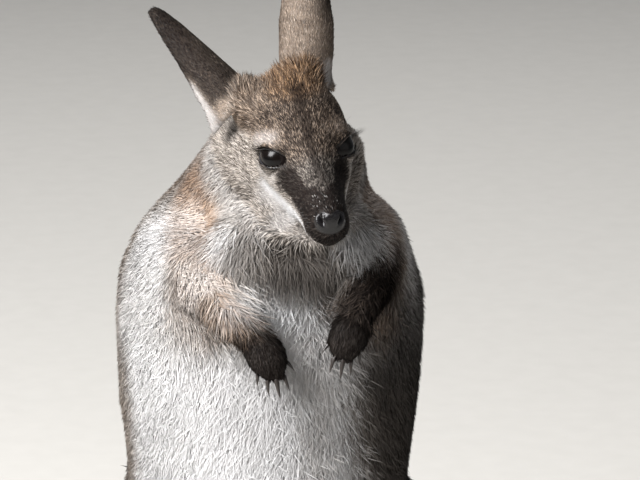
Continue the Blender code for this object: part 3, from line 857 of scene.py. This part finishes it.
def mark_body(at, marks):
    """Grey-brown, with a rufous nape and shoulders and a pale front; painted shade under and beside the
    chin, in the belly's fold and on the side away from the light.
    """
    x, z = at.points.T[::2]
    turn = at.turn
    # the front is pale; that it reaches to 90 degrees round the right, towards the light, but only 23 round
    # the left is painted light and shade
    front = np.where(turn < 0, 1 - ramp(64, 90, -turn), 1 - ramp(9, 23, turn))
    trunk = at.share("trunk", "neck", "thigh", rounds=6)
    mottle = swirls(at.points, 0.030, 3)
    # painted shade in the fold just left of the belly's middle, below the chest
    fold = bump(turn - 5, 4) * (1 - ramp(0.37, 0.39, z))
    lower_edge = mixed(ramp(0.06, 0.12, z), ramp(0.15, 0.27, z), at.share("thigh"))
    belly = front * (1 - ramp(0.395, 0.425, z + 0.012 * mottle)) * lower_edge * (1 - 0.55 * fold)
    chest = np.maximum(0.92 * at.near("bib"), 0.10 * at.near("throat"))
    marks.at_least("pale", trunk * np.maximum(0.78 * belly, chest))
    for side in SIDES.values():
        marks.at_least("warm", 0.90 * at.near("shoulder", side))
    marks.at_least("warm", 0.70 * at.near("nape") * trunk)
    # painted shadow of the head under the chin: less pale and darker
    shade = at.near("shadow under chin") * trunk
    marks.less("pale", 0.8 * shade)
    marks.at_least("dark", 0.78 * shade)
    # painted shadow beside the chin, which also holds the shoulder's pale back
    beside = at.near("shadow beside chin")
    marks.at_least("dark", 0.48 * beside * trunk)
    shoulder = at.share("upper_arm", "trunk", "neck", rounds=6) * ramp(0.34, 0.40, z)
    shoulder *= (1 - at.share("head", rounds=4)) * (1 - ramp(70, 110, np.abs(turn))) * (1 - shade)
    shoulder *= (1 - 0.6 * beside) * (1 - 0.65 * at.share("neck"))
    # painted shade: the shoulder on the body's left, away from the light, is less pale
    shoulder *= mixed(0.60, 0.74, ramp(0.43, 0.47, z)) * mixed(0.85, 1, x < 0)
    marks.at_least("pale", shoulder * (1 - 0.5 * marks.warm))
    # painted shade on the body's left side, away from the light
    far_side_shade = trunk * ramp(11, 27, turn) * (1 - ramp(0.42, 0.47, z)) * (1 - ramp(95, 140, turn))
    far_side_shade *= mixed(0.75, 0.58, ramp(0.37, 0.42, z)) * ramp(0.08, 0.25, z)
    marks.at_least("dark", far_side_shade)
    marks.at_least("warm", 0.25 * at.share("trunk") * ramp(80, 120, np.abs(turn)))


def mark_limbs(at, marks):
    """Brown forearms with painted shade on the left one, black paws and toes, and a black end to the tail.
    """
    y = at.points[:, 1]
    ahead, above = -at.normals[:, 1], at.normals[:, 2]
    arm, over, hands = at.share("forearm", rounds=5), bib_over_arms(at), at.share("hand", rounds=3)
    marks.less("warm", 0.6 * arm)
    marks.at_least("warm", 0.45 * arm * (1 - over))
    marks.pale = mixed(marks.pale, 0.38, arm)
    # the forearms darken towards the black paws; on the left, away from the light, the dark reaches further
    # up as painted shade
    for side, start, end in (("right", 0.020, 0.062), ("left", 0.050, 0.110)):
        gap = np.linalg.norm(at.points - box_middle(f"hand_{side}"), axis=1)
        own = at.share("forearm", "hand", rounds=4) * (at.side == SIDES[side])
        marks.at_least("dark", own * mixed(0.05, 0.95, 1 - ramp(start, end, gap)))
    cuff = at.near("right cuff") * arm
    marks.at_least("dark", 0.62 * cuff)
    marks.at_least("warm", 0.75 * cuff)
    marks.less("dark", 0.95 * over)
    marks.less("pale", over)
    # painted light and shade: less pale where the hair faces up into the light, paler where it faces down
    # into shade
    marks.at_least("pale", mixed(0.88, 0.40, ramp(0.1, 0.6, above)) * over)
    marks.at_least("dark", 0.97 * hands)
    marks.less("pale", hands)
    marks.at_least("pale", 0.28 * at.share("shank", "thigh") * ramp(0.2, 0.8, ahead))
    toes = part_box("foot_left")[0].y
    marks.at_least("dark", at.share("foot") * mixed(0.95, 0.35, ramp(toes + 0.03, toes + 0.11, y)))
    tail = at.share("tail")
    marks.at_least("pale", 0.6 * tail * ramp(0.1, 0.8, -above) * (1 - ramp(0.33, 0.42, y)))
    marks.at_least("dark", tail * mixed(0.15, 0.95, ramp(0.25, 0.46, y)))


def mark_bare(at, marks):
    """The nose's pad, the lids' rims and the soles of the feet."""
    head = at.share("head", rounds=4)
    marks.at_least("bare", soft_line(at.folded, NOSE_PAD, 7.2, 8.6) * (at.local[:, 1] < -73) * head)
    marks.at_least("bare", soft_spot(at.lids, 0.5, 1.2) * (head > 0.5))
    sole = at.share("foot") * ramp(0.7, 0.9, -at.normals[:, 2]) * (at.points[:, 2] < 0.008)
    marks.at_least("bare", sole)


def markings(at):
    marks = Marks(len(at.points))
    for part in (mark_head, mark_ears, mark_body, mark_limbs, mark_bare):
        part(at, marks)
    marks.less("pale", 0.85 * marks.dark)
    return marks


# ------------------------------------------------------------------ tufts


def coat_sizes(at):
    """At each place: the coat's depth, a tuft's length and width, and the tufts wanted for each m2."""
    local = at.local
    y, z = at.points.T[1:]
    head = at.share("head", rounds=4)
    tables = (table[at.kinds] for table in (DEPTH, LENGTH, WIDTH, COVER))
    depth, length, width, cover = (at.net.spread(table, 10) for table in tables)
    short = np.maximum(head * (1 - ramp(-52, -12, local[:, 1])), 1 - ramp(2, 14, at.lids))
    depth, length = mixed(depth, 0.9, short), mixed(length, 3.2, short)
    width, cover = mixed(width, 0.65, short), mixed(cover, 0.28, short)
    crown = head * ramp(16, 30, local[:, 2]) * ramp(24, 44, local[:, 1]) * (1 - ramp(13, 24, local[:, 0]))
    length, depth = mixed(length, 15, crown), mixed(depth, 11.5, crown)
    nape = head * ramp(34, 46, np.abs(local[:, 0])) * ramp(12, 40, local[:, 1])
    length, depth = length * (1 + 0.9 * nape), depth * (1 + 1.2 * nape)
    fold = ear_fold(at)
    length, depth = length * (1 - 0.5 * fold), depth * (1 - 0.6 * fold)
    front = at.share("trunk", "thigh") * (1 - ramp(-0.36, -0.30, y))
    bib = at.near("long bib")
    length *= 1 + np.maximum(0.55 * front, 0.6 * bib * (1 - head))
    over = bib_over_arms(at)
    length, depth = mixed(length, 30, 0.8 * over), mixed(depth, 9, 0.8 * over)
    depth = mixed(depth, 4.5, at.near("chest") * (1 - head))
    hanging = bib * (z < 0.435) * at.share("trunk")
    depth = mixed(depth, 12, at.net.spread(hanging, 4) * (1 - over))
    width *= 1 - 0.35 * np.maximum(bib * (1 - head), over)
    behind = at.share("trunk", "neck") * ramp(-0.26, -0.18, y)
    cover, width = cover * (1 + 0.6 * behind), width * (1 + 0.25 * behind)
    return depth * MM, length * MM, width * MM, 1e6 / cover


class Tufts:
    """Where each tuft is rooted, and what the skin says there."""

    def __init__(self, at, tables, count):
        """Spreads tufts over the skin, as closely as the last table asks."""
        rolls = np.random.default_rng(11)
        at.mesh.calc_loop_triangles()
        corners = values_of(at.mesh.loop_triangles, "vertices", 3, np.int32)
        area = values_of(at.mesh.loop_triangles, "area")
        wanted = np.cumsum(area * tables["density"][corners].mean(1))
        spots = (np.arange(count) + rolls.random(count)) / count * wanted[-1]
        corners = corners[np.minimum(np.searchsorted(wanted, spots), len(corners) - 1)]
        a, b = rolls.random(count), rolls.random(count)
        a, b = np.where(a + b > 1, 1 - a, a), np.where(a + b > 1, 1 - b, b)
        weights = np.stack([1 - a - b, a, b], 1)
        self.count, self.rolls, self.first = count, rolls, corners[:, 0]
        self.root = self.taken(at.points, corners, weights)
        self.normal = unit(self.taken(at.normals, corners, weights))
        for name, table in tables.items():
            setattr(self, name, self.taken(table, corners, weights))
        lie = self.lie - dot(self.lie, self.normal)[:, None] * self.normal
        self.lie = unit(lie)

    @staticmethod
    def taken(table, corners, weights):
        """The values of a table of the skin's points, at places inside its triangles."""
        if table.ndim == 1:
            return (table[corners] * weights).sum(1)
        return (table[corners] * weights[:, :, None]).sum(1)


SMALLEST_LOCK, LARGEST_LOCK = 2.2 * MM, 11 * MM
CELL_MIX = np.array([73856093, 19349663, 83492791])  # makes a cell's place into one scrambled number
POINT_MIX = 7919, 6271, 4409  # each makes that number into one part of a place inside the cell
MIX_STEPS = 10007


def lock_middles(points, size, seed):
    """The middle of each point's lock: the nearest of the loose points, one in each cell of space."""
    cells = np.floor(points / size[:, None]).astype(np.int64)
    best, middle = np.full(len(points), 1e9), points.copy()
    for step in np.ndindex(3, 3, 3):
        cell = cells + (np.array(step) - 1)
        mix = cell @ CELL_MIX + seed
        loose = np.stack([(mix * k % MIX_STEPS) / MIX_STEPS for k in POINT_MIX], 1)
        spot = (cell + loose) * size[:, None]
        gap = np.linalg.norm(spot - points, axis=1)
        middle = np.where((gap < best)[:, None], spot, middle)
        best = np.minimum(gap, best)
    return middle


SUNK = 0.5 * MM  # how far a tuft's root is under the skin
WIDEST, RISEN = 0.38, 0.47  # how far along a tuft it is broadest, and how much of its height it has there


def tuft_corners(t):
    """The four corners of every tuft: its root, its two broad corners and its tip."""
    rolls = t.rolls
    size = np.clip(0.42 * t.length, SMALLEST_LOCK, LARGEST_LOCK)
    # there are only a few sizes of lock, each on its own cells
    size = SMALLEST_LOCK * 2 ** np.round(np.log2(size / SMALLEST_LOCK))
    pull = lock_middles(t.root, size, 5) - t.root
    pull -= dot(pull, t.normal)[:, None] * t.normal
    right = np.cross(t.lie, t.normal)
    stray = (rolls.normal(0, 1, t.count) * mixed(0.26, 0.40, ramp(6 * MM, 12 * MM, t.length)))[:, None]
    way = unit(t.lie * np.cos(stray) + right * np.sin(stray))
    length = t.length * rolls.uniform(0.75, 1.25, t.count)
    height = np.minimum(t.depth * rolls.uniform(0.75, 1.15, t.count), 0.75 * length)
    reach = np.sqrt(length**2 - height**2)
    held = mixed(0.22, 0.32, ramp(7 * MM, 24 * MM, t.length)) * rolls.uniform(0.4, 1.3, t.count)
    run = way * reach[:, None] + pull * held[:, None]
    tip = t.root + run + t.normal * height[:, None]
    root = t.root - t.normal * SUNK
    roll = rolls.uniform(-0.28, 0.28, t.count)[:, None]
    broad = unit(np.cross(unit(run), t.normal)) * np.cos(roll) + t.normal * np.sin(roll)
    broad = broad * (t.width * rolls.uniform(0.7, 1.3, t.count) / 2)[:, None]
    middle = t.root + run * WIDEST + t.normal * (height * RISEN)[:, None]
    corners = np.stack([root, middle + broad, middle - broad, tip], 1)
    corners[..., 2] = np.maximum(corners[..., 2], 0)
    return corners


TUFT_FACES = np.array([(0, 1, 2), (2, 1, 3), (0, 2, 3), (0, 3, 1)])
TUFT_ALONG = np.array([0, WIDEST, WIDEST, 1.0])
OF_SKIN = 0.85  # how much of a tuft's normal is the skin's under it
ROUNDED = 0.16  # how much its sides turn away
PATCH = 0.003  # the breadth of one tuft's patch on the unwrap
TUFT_PATCH = np.array([(0.5, 0), (1, 0.4), (0, 0.4), (0.5, 1)]) * PATCH


def tuft_normals(points, of_skin):
    """Each face corner's normal: on top mostly the skin's, rounded across, so the coat is lit as one."""
    across = unit(points[:, 1] - points[:, 2])
    flat = unit(np.cross(points[:, 3] - points[:, 0], across))
    flat *= np.sign(dot(flat, of_skin))[:, None]
    middle = unit(mixed(flat, of_skin, OF_SKIN))
    top = np.stack([middle, middle + ROUNDED * across, middle - ROUNDED * across, middle], 1)
    under = np.repeat(-flat[:, None], 4, 1)
    normals = [top[:, TUFT_FACES[:2].ravel()], under[:, TUFT_FACES[2:].ravel()]]
    return unit(np.concatenate(normals, 1).reshape(-1, 3))


def unwrapped(points, layer):
    """Places of a rolled form on a flat sheet: the turn round its own long axis, and the way along it."""
    middle = points.mean(0)
    axes = np.linalg.eigh(np.cov((points - middle).T))[1]
    q = (points - middle) @ axes
    turn = np.arctan2(q[:, 0], q[:, 1])
    along = q[:, 2]
    flat = [(v - v.min()) / max(np.ptp(v), 1e-6) * (1 - 2 * PATCH) for v in (turn, along)]
    flat[0] = (flat[0] + layer) / 2 if layer.any() else flat[0]
    return np.stack(flat, 1) * (1 - PATCH)


def tuft_piece(name, t, corners, chosen, material):
    """One piece of the coat, from the chosen tufts."""
    points = corners[chosen]
    count = len(points)
    faces = (np.arange(count)[:, None, None] * 4 + TUFT_FACES).reshape(-1)
    mesh = bpy.data.meshes.new(name)
    mesh.vertices.add(count * 4)
    mesh.loops.add(count * 12)
    mesh.polygons.add(count * 4)
    mesh.loops.foreach_set("vertex_index", faces.astype(np.int32))
    mesh.polygons.foreach_set("loop_start", np.arange(0, count * 12, 3, dtype=np.int32))
    set_points(mesh, points)
    mesh.update(calc_edges=True)
    mesh.normals_split_custom_set(tuft_normals(points, t.coat_normal[chosen]).astype(np.float32))
    dark, pale, warm, tone, banding = (
        np.repeat(values[chosen], 4) for values in (t.dark, t.pale, t.warm, t.tone, t.banding)
    )
    paint(mesh, "coat", dark, pale, warm)
    paint(mesh, "hair", np.tile(TUFT_ALONG, count), tone, banding)
    places = unwrapped(t.root[chosen], np.round(t.layer[chosen]))
    patches = (places[:, None, :] + TUFT_PATCH).reshape(-1, 2)[faces]
    mesh.uv_layers.new(name="OFBake").data.foreach_set("uv", patches.astype(np.float32).ravel())
    return ridden(linked(name, mesh), material, "coat")


def coat_pieces(at):
    """The name of the coat's piece at each place of the skin."""
    x, y = at.points.T[:2]
    side = np.where(x > 0, "_left", "_right")
    sector = np.select([np.abs(at.turn) < 55, np.abs(at.turn) < 115], ["belly", "flank"], "back")
    names = {
        "head": np.where(at.local[:, 0] > 0, "head_left", "head_right"),
        "trunk": np.char.add(sector, side),
        "tail": np.where(y > 0.12, "tail_end", "tail_root"),
        "ear": np.array(FLESH)[at.flesh],
    }
    limbs = {"thigh": ("thigh",), "arm": ("upper_arm", "forearm", "hand"), "leg": ("shank", "foot")}
    for limb, kinds in limbs.items():
        names |= dict.fromkeys(kinds, np.char.add(limb, side))
    found = np.full(len(x), "neck", dtype="U16")
    for kind, values in names.items():
        found = np.where(at.kinds == KINDS.index(kind), values, found)
    return found


# ------------------------------------------------------------------ materials

# The darkest and the palest hair of each colour of the coat, in the order in which they lie over each other.
HAIR = {
    "grey": ("#433c36", "#b6ada4"),
    "warm": ("#4a3320", "#b58f6a"),
    "pale": ("#bfbebe", "#e3e3e5"),
    "dark": ("#060404", "#1b1411"),
}
UNDERCOAT, HAIR_TIP = "#3a332d", "#211b17"
BLEND = "ShaderNodeMix", {"data_type": "RGBA"}  # input 0 is the share of colour 7 over colour 6


def fur_colour(tree, tone, along, banding):
    """The coat's colour from its markings, how light each hair is and the way along it."""
    dark, pale, warm = painted(tree, "coat")
    shades = {}
    for name, (low, high) in HAIR.items():
        shades[name] = add_node(tree, *BLEND, {0: tone, 6: linear(low), 7: linear(high)}).outputs[2]
    colour = add_node(tree, *BLEND, {0: warm, 6: shades["grey"], 7: shades["warm"]}).outputs[2]
    for hex_colour, start, end, most in ((UNDERCOAT, 0.45, 0.0, 0.7), (HAIR_TIP, 0.65, 1.0, 0.45)):
        limits = {"Value": along, "From Min": start, "From Max": end, "To Min": 0.0, "To Max": most}
        near_end = add_node(tree, "ShaderNodeMapRange", {"interpolation_type": "SMOOTHSTEP"}, limits)
        factors = {0: near_end.outputs[0], 1: banding}
        share = add_node(tree, "ShaderNodeMath", {"operation": "MULTIPLY"}, factors).outputs[0]
        colour = add_node(tree, *BLEND, {0: share, 6: colour, 7: linear(hex_colour)}).outputs[2]
    for mark, name in ((pale, "pale"), (dark, "dark")):
        colour = add_node(tree, *BLEND, {0: mark, 6: colour, 7: shades[name]}).outputs[2]
    return colour


def new_material(name, roughness, specular):
    material = bpy.data.materials.new(name)
    material.use_nodes = True
    shader = material.node_tree.nodes["Principled BSDF"]
    shader.inputs["Roughness"].default_value = roughness
    shader.inputs["Specular IOR Level"].default_value = specular
    return material, material.node_tree, shader


def grain_over(tree, scale, detail, stretch=(1, 1, 1)):
    """Fine noise over the object, and the place that it reads."""
    place = add_node(tree, "ShaderNodeTexCoord").outputs["Object"]
    place = add_node(tree, "ShaderNodeMapping", links={"Vector": place, "Scale": stretch}).outputs[0]
    noise = add_node(tree, "ShaderNodeTexNoise", links={"Vector": place, "Scale": scale, "Detail": detail})
    return noise.outputs["Fac"], place


def two_toned(name, roughness, specular, low, high, *pattern):
    """A material whose colour wanders between two, with a fine grain."""
    material, tree, shader = new_material(name, roughness, specular)
    grain = grain_over(tree, *pattern)[0]
    colour = add_node(tree, *BLEND, {0: grain, 6: linear(low), 7: linear(high)}).outputs[2]
    tree.links.new(colour, shader.inputs["Base Color"])
    return material, tree, shader, grain


def painted(tree, name):
    """The three values that the mesh's points hold under this name."""
    colour = add_node(tree, "ShaderNodeAttribute", {"attribute_name": name}).outputs["Color"]
    return add_node(tree, "ShaderNodeSeparateColor", links={"Color": colour}).outputs


def marsupial_fur():
    """Dry guard hair: a soft shine along each hair, dark at the root, banded, and dark at the tip."""
    material, tree, shader = new_material("marsupial_fur", 0.72, 0.08)
    along, tone, banding = painted(tree, "hair")
    tree.links.new(fur_colour(tree, tone, along, banding), shader.inputs["Base Color"])
    return material


def furred_skin():
    """Skin with its woolly undercoat, and bare, dark and leathery at the nose, the lids and the soles."""
    material, tree, shader = new_material("furred_skin", 0.6, 0.4)
    wool, place = grain_over(tree, 900.0, 3.0)  # strands of wool about 1 mm apart
    fur = fur_colour(tree, wool, 0.25, 0.6)  # between tufts, the hairs' lower part shows
    bare, hollow, wet = painted(tree, "skin")
    leather = add_node(tree, *BLEND, {0: hollow, 6: linear("#0c0a0b"), 7: linear("#8d7468")}).outputs[2]
    lid = add_node(tree, *BLEND, {0: wet, 6: leather, 7: linear("#2b2a2c")}).outputs[2]
    colour = add_node(tree, *BLEND, {0: bare, 6: fur, 7: lid}).outputs[2]
    tree.links.new(colour, shader.inputs["Base Color"])
    dry = add_node(tree, "ShaderNodeMapRange", links={"Value": bare, "To Min": 0.85, "To Max": 0.27})
    rough = add_node(tree, "ShaderNodeMix", {"data_type": "FLOAT"}, {0: wet, 2: dry.outputs[0], 3: 0.16})
    tree.links.new(rough.outputs[0], shader.inputs["Roughness"])
    # the nose's pebbles are about 0.7 mm across
    pebbles = add_node(tree, "ShaderNodeTexVoronoi", links={"Vector": place, "Scale": 1400.0})
    heights = {0: bare, 2: wool, 3: pebbles.outputs["Distance"]}
    relief = add_node(tree, "ShaderNodeMix", {"data_type": "FLOAT"}, heights).outputs[0]
    dents = add_node(tree, "ShaderNodeBump", links={"Strength": 0.35, "Distance": 0.0003, "Height": relief})
    tree.links.new(dents.outputs[0], shader.inputs["Normal"])
    return material


def wet_eye():
    """A dark brown iris round a level, oval pupil, under a clear wet cornea."""
    material, tree, shader = new_material("wet_eye", 0.22, 0.14)
    pupil, white = painted(tree, "iris")[:2]
    streaks = grain_over(tree, 1100.0, 2.0)[0]  # the iris's fibres are just under 1 mm apart
    colour = add_node(tree, *BLEND, {0: streaks, 6: linear("#060404"), 7: linear("#0e0907")}).outputs[2]
    for mark, hex_colour in ((pupil, "#050404"), (white, "#1a1514")):
        colour = add_node(tree, *BLEND, {0: mark, 6: colour, 7: linear(hex_colour)}).outputs[2]
    tree.links.new(colour, shader.inputs["Base Color"])
    shader.inputs["Coat Weight"].default_value = 0.08
    shader.inputs["Coat Roughness"].default_value = 0.18
    return material


def dark_horn():
    """Claw: worn black-brown horn with fine lengthwise grain, under 1 mm across, and a dull shine."""
    pattern = 1500.0, 3.0, (1.0, 0.12, 0.5)
    material, tree, shader, grain = two_toned("dark_horn", 0.38, 0.45, "#0f0c0b", "#2e2621", *pattern)
    dents = add_node(tree, "ShaderNodeBump", links={"Strength": 0.25, "Distance": 0.0002, "Height": grain})
    tree.links.new(dents.outputs[0], shader.inputs["Normal"])
    return material


def black_hair():
    """Lashes and whiskers: stiff, smooth, nearly black hair, which changes tone over about 3 mm."""
    return two_toned("black_hair", 0.4, 0.4, "#0c0a09", "#2a221d", 300.0, 2.0)[0]


def studio_floor():
    """Matt pale paper under and behind the model, with faint clouds about 25 mm across."""
    return two_toned("studio_floor", 0.9, 0.2, "#bcb9b4", "#c4c1bc", 40.0, 4.0)[0]


# ------------------------------------------------------------------ pieces


def ridden(obj, material, slot, *replaced):
    """The object with its material, as a finished piece on the body."""
    obj.data.materials.append(material)
    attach(obj, "root")
    if replaced:
        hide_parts(*replaced)
    return obj


def smooth_shaded(obj):
    obj.data.polygons.foreach_set("use_smooth", np.ones(len(obj.data.polygons), bool))
    return obj


def make_skin():
    skin = fused_flesh()
    settle_skin(skin)
    grow_ears(skin)
    shape_face(skin)
    skin.data.materials.clear()
    return ridden(smooth_shaded(skin), furred_skin(), "coat", *FLESH)


GRIZZLED, SPECKED = 0.22, 0.022  # the shares of the tufts that are light, on the head and on the muzzle


def tuft_tables(at, marks):
    """What the tufts take from the skin at their roots."""
    depth, length, width, density = coat_sizes(at)
    hollow = np.maximum(*(own * inward for own, _, _, inward in (at.in_ear(side) for side in SIDES)))
    covered = (1 - ramp(0.55, 0.95, marks.bare)) * (at.rim < 0.1) * (at.lids > 0.35)
    evened = at.net.spread(at.normals, 40) + at.near("upper bib")[:, None] * (-0.2, -0.2, 0.4)
    coat_normal = mixed(at.normals, unit(evened), ramp(6, 12, length / MM)[:, None])
    speckle = (at.share("head") + 0.22 * at.share("ear")) * (1 - ramp(0, 0.6, marks.pale))
    return {
        "lie": lie_of_coat(at),
        "coat_normal": unit(coat_normal),
        "depth": depth,
        "length": length * (1 + 0.9 * hollow * (1 - marks.dark)),
        "width": width * (1 - 0.3 * hollow),
        "dark": marks.dark,
        "pale": marks.pale,
        "warm": marks.warm,
        "hollow": hollow,
        "layer": (hollow > 0.5).astype(float),
        "speckle": speckle,
        "muzzle": at.share("head") * (1 - ramp(-70, -50, at.local[:, 1])) * marks.dark,
        "density": density * covered * (1 - 0.55 * hollow),
    }


def vary_tufts(t):
    """Grizzles the head, specks the muzzle and makes each tuft a little lighter or darker."""
    shade = 0.17 * swirls(t.root, 0.006, 21) + 0.12 * swirls(t.root, 0.028, 22)
    grizzled = t.rolls.random(t.count) < GRIZZLED * t.speckle
    specks = (t.rolls.random(t.count) < SPECKED) & (t.muzzle > 0.5) & (t.normal[:, 2] > 0.3)
    t.pale, t.dark = np.where(specks, 0.4, t.pale), np.where(specks, 0.45, t.dark)
    t.dark = np.where(grizzled, t.dark * mixed(0.66, 1, ramp(0.87, 0.93, t.dark)), t.dark)
    t.tone = 0.5 - 0.16 * t.speckle + shade + mixed(0.13, 0.30, t.speckle) * t.rolls.normal(0, 1, t.count)
    t.tone = np.clip(np.where(grizzled, t.tone + 0.75, t.tone), 0, 1)
    for name in ("dark", "pale", "warm"):
        setattr(t, name, np.clip(getattr(t, name) + t.rolls.normal(0, 0.05, t.count), 0, 1))
    t.banding = mixed(0.4, 1, t.speckle)


def make_coat(skin):
    at = Places(skin)
    marks = markings(at)
    tables = tuft_tables(at, marks)
    paint(skin.data, "coat", marks.dark, marks.pale, marks.warm)
    paint(skin.data, "skin", marks.bare, tables.pop("hollow"), at.rim)
    t = Tufts(at, tables, TUFTS)
    vary_tufts(t)
    corners = tuft_corners(t)
    fur = marsupial_fur()
    names = coat_pieces(at)[t.first]
    for name in sorted(set(names)):
        tuft_piece(f"coat_{name}", t, corners, np.flatnonzero(names == name), fur)


CORNEA, CORNEA_RISE = 8 * MM, 0.9 * MM  # the clear front's radius, and how far it stands out
PUPIL_LENGTH, PUPIL_HEIGHT = 4.6 * MM, 3.0 * MM  # from its middle


def make_eye(side, material):
    """An eyeball with a fuller cornea in front."""
    gaze, front, up = eye_lines(side)
    bm = bmesh.new()
    bmesh.ops.create_icosphere(bm, subdivisions=6, radius=EYE_RADIUS)
    seen = []
    for vert in bm.verts:
        a, b = vert.co.dot(front), vert.co.dot(up)
        r = math.hypot(a, b)
        ahead = vert.co.dot(gaze) > 0
        if ahead and r < CORNEA:
            vert.co += gaze * CORNEA_RISE * (1 - (r / CORNEA) ** 2) ** 1.5
        pupil = math.hypot(a / PUPIL_LENGTH, b / PUPIL_HEIGHT)
        seen.append((1 - ramp(0.9, 1.1, pupil) if ahead else 0, ramp(8.6, 9.6, r / MM), 0))
        vert.co += EYE_CENTRES[side]
    eye = smooth_shaded(new_object(f"eyeball_{side}", bm))
    paint(eye.data, "iris", *np.array(seen).T)
    return ridden(eye, material, "eye", f"eye_{side}")


def make_claw(node, material):
    """A claw rounded off from its solid."""
    bm = bmesh_of(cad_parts[node].data)
    bmesh.ops.remove_doubles(bm, verts=bm.verts[:], dist=1e-6)
    claw = new_object(node.replace("claw", "nail"), bm)
    modify(claw, "SUBSURF", levels=2, render_levels=2)
    return ridden(smooth_shaded(claw), material, "horn", node)


LASH_RADIUS, WHISKER_RADIUS = 0.16 * MM, 0.11 * MM
UPPER_LASH, LOWER_LASH = 0.0075, 0.003  # their lengths


def strands(name, runs, material):
    """Tapering three-sided hairs: each run is its points and its radius at the root."""
    points, faces = [], []
    for line, radius in runs:
        line = [Vector(p) for p in line]
        start, last = len(points), len(line) - 1
        for i, p in enumerate(line):
            ahead = (line[min(i + 1, last)] - line[max(i - 1, 0)]).normalized()
            side = ahead.orthogonal().normalized()
            size = radius * (1 - 0.9 * i / last)
            for k in range(3):
                points.append(p + Matrix.Rotation(k * math.tau / 3, 3, ahead) @ side * size)
        for i in range(last):
            for k in range(3):
                a, b = start + 3 * i + k, start + 3 * i + (k + 1) % 3
                faces.append((a, b, b + 3, a + 3))
        faces.append((start + 2, start + 1, start))
        faces.append(tuple(start + 3 * last + k for k in range(3)))
    mesh = bpy.data.meshes.new(name)
    mesh.from_pydata(points, [], faces)
    return ridden(linked(name, mesh), material, "coat")


def curved(start, way, drop, length, count=7):
    """Points on a hair that leaves along one way and bends to another."""
    return [start + (way * s + drop * s * s) * length for s in (i / (count - 1) for i in range(count))]


def make_lashes(material):
    """Upper lashes, longest over the back corner, and short ones below."""
    rolls = np.random.default_rng(31)
    runs = []
    for side in SIDES:
        gaze, front, up = eye_lines(side)
        for turn in np.radians(np.concatenate([np.linspace(12, 172, 70), np.linspace(200, 335, 26)])):
            upper = math.sin(turn) > 0
            turn = turn + rolls.normal(0, 0.02)
            a, b = math.cos(turn), math.sin(turn)
            r = lid_edge(a, b) + 0.25 * MM
            height = math.sqrt((EYE_RADIUS + LID_THICK) ** 2 - r * r)
            start = EYE_CENTRES[side] + front * a * r + up * b * r + gaze * (height - 0.2 * MM)
            out = (front * a * 0.35 + up * b * 0.45 + gaze * 0.9).normalized()
            length = (UPPER_LASH if upper else LOWER_LASH) * (1 - 0.35 * a) * rolls.uniform(0.75, 1.15)
            bend = up * (0.25 if upper else -0.2) - front * 0.2
            runs.append((curved(start, out, bend, length), LASH_RADIUS))
    return strands("lashes", runs, material)


def make_whiskers(skin, material):
    """Fine whiskers in rows on the upper lip, and a few over each eye."""
    rolls = np.random.default_rng(32)
    tree = BVHTree.FromBMesh(bmesh_of(skin.data))
    turn = HEAD.to_3x3()
    runs = []
    # a side of the head, places on it in mm, and a length in mm
    spots = [(side, y, z, 24) for side in SIDES for z in (-15, -19, -23) for y in (-70, -65, -60, -55, -50)]
    spots += [(side, y, 17, 11) for side in SIDES for y in (-6, 0)]
    for side, y, z, length in spots:
        y, z = y + rolls.uniform(-1, 1), z + rolls.uniform(-0.8, 0.8)
        start = HEAD @ Vector((SIDES[side] * 60 * MM, y * MM, z * MM))
        inward = turn @ Vector((-SIDES[side], 0, 0))
        hit = tree.ray_cast(start, inward)[0]
        if hit is None:
            continue
        way = turn @ Vector((SIDES[side] * 0.8, 0.45, -0.15 if z < 0 else 0.5))
        droop = turn @ Vector((0, 0.25, -0.30))
        length *= MM * rolls.uniform(0.7, 1.2)
        runs.append((curved(hit + inward * 0.4 * MM, way, droop, length, 9), WHISKER_RADIUS))
    return strands("whiskers", runs, material)


# ------------------------------------------------------------------ camera, light and floor

CAMERA_TURN, CAMERA_RISE = math.radians(-12), math.radians(15)
AIM = BETWEEN_EYES + Vector((0.0054, -0.018, -0.060))
CAMERA_AWAY, LENS = 3.205, 256
FLOOR_RADIUS = 9


def away(turn, rise):
    """The direction out from the model: turn 0 is in front of it, and a positive turn goes to its left."""
    return Vector((math.sin(turn) * math.cos(rise), -math.cos(turn) * math.cos(rise), math.sin(rise)))


def aimed(obj, place, target):
    obj.location = place
    obj.rotation_euler = (target - place).to_track_quat("-Z", "Y").to_euler()
    bpy.context.scene.collection.objects.link(obj)
    return obj


def set_camera():
    camera = bpy.data.objects.new("camera", bpy.data.cameras.new("camera"))
    camera.data.lens = LENS
    aimed(camera, AIM + away(CAMERA_TURN, CAMERA_RISE) * CAMERA_AWAY, AIM)
    bpy.context.scene.camera = camera


def set_lights():
    chest = Vector((0, -0.33, 0.40))
    for name, turn, rise, distance, size, power in (
        ("key", -60, 40, 2.6, 1.5, 228),
        ("fill", 40, 18, 3.2, 2.4, 9),
        ("back", 165, 45, 3.0, 2.0, 34),
    ):
        lamp = bpy.data.lights.new(name, "AREA")
        lamp.size, lamp.energy = size, power
        place = chest + away(math.radians(turn), math.radians(rise)) * distance
        aimed(bpy.data.objects.new(name, lamp), place, chest)
    world = bpy.data.worlds.new("studio")
    world.use_nodes = True
    world.node_tree.nodes["Background"].inputs["Color"].default_value = linear("#dfe3e8")
    world.node_tree.nodes["Background"].inputs["Strength"].default_value = 0.23
    bpy.context.scene.world = world
    bpy.context.scene.view_settings.view_transform = "Standard"


def set_floor():
    bm = bmesh.new()
    bmesh.ops.create_circle(bm, cap_ends=True, segments=96, radius=FLOOR_RADIUS)
    floor = new_object("floor", bm)
    floor.data.materials.append(studio_floor())


def main():
    set_camera()
    set_lights()
    set_floor()
    skin = make_skin()
    make_coat(skin)
    eye, horn, hair = wet_eye(), dark_horn(), black_hair()
    for side in SIDES:
        make_eye(side, eye)
    for node in CLAWS:
        make_claw(node, horn)
    make_lashes(hair)
    make_whiskers(skin, hair)


main()
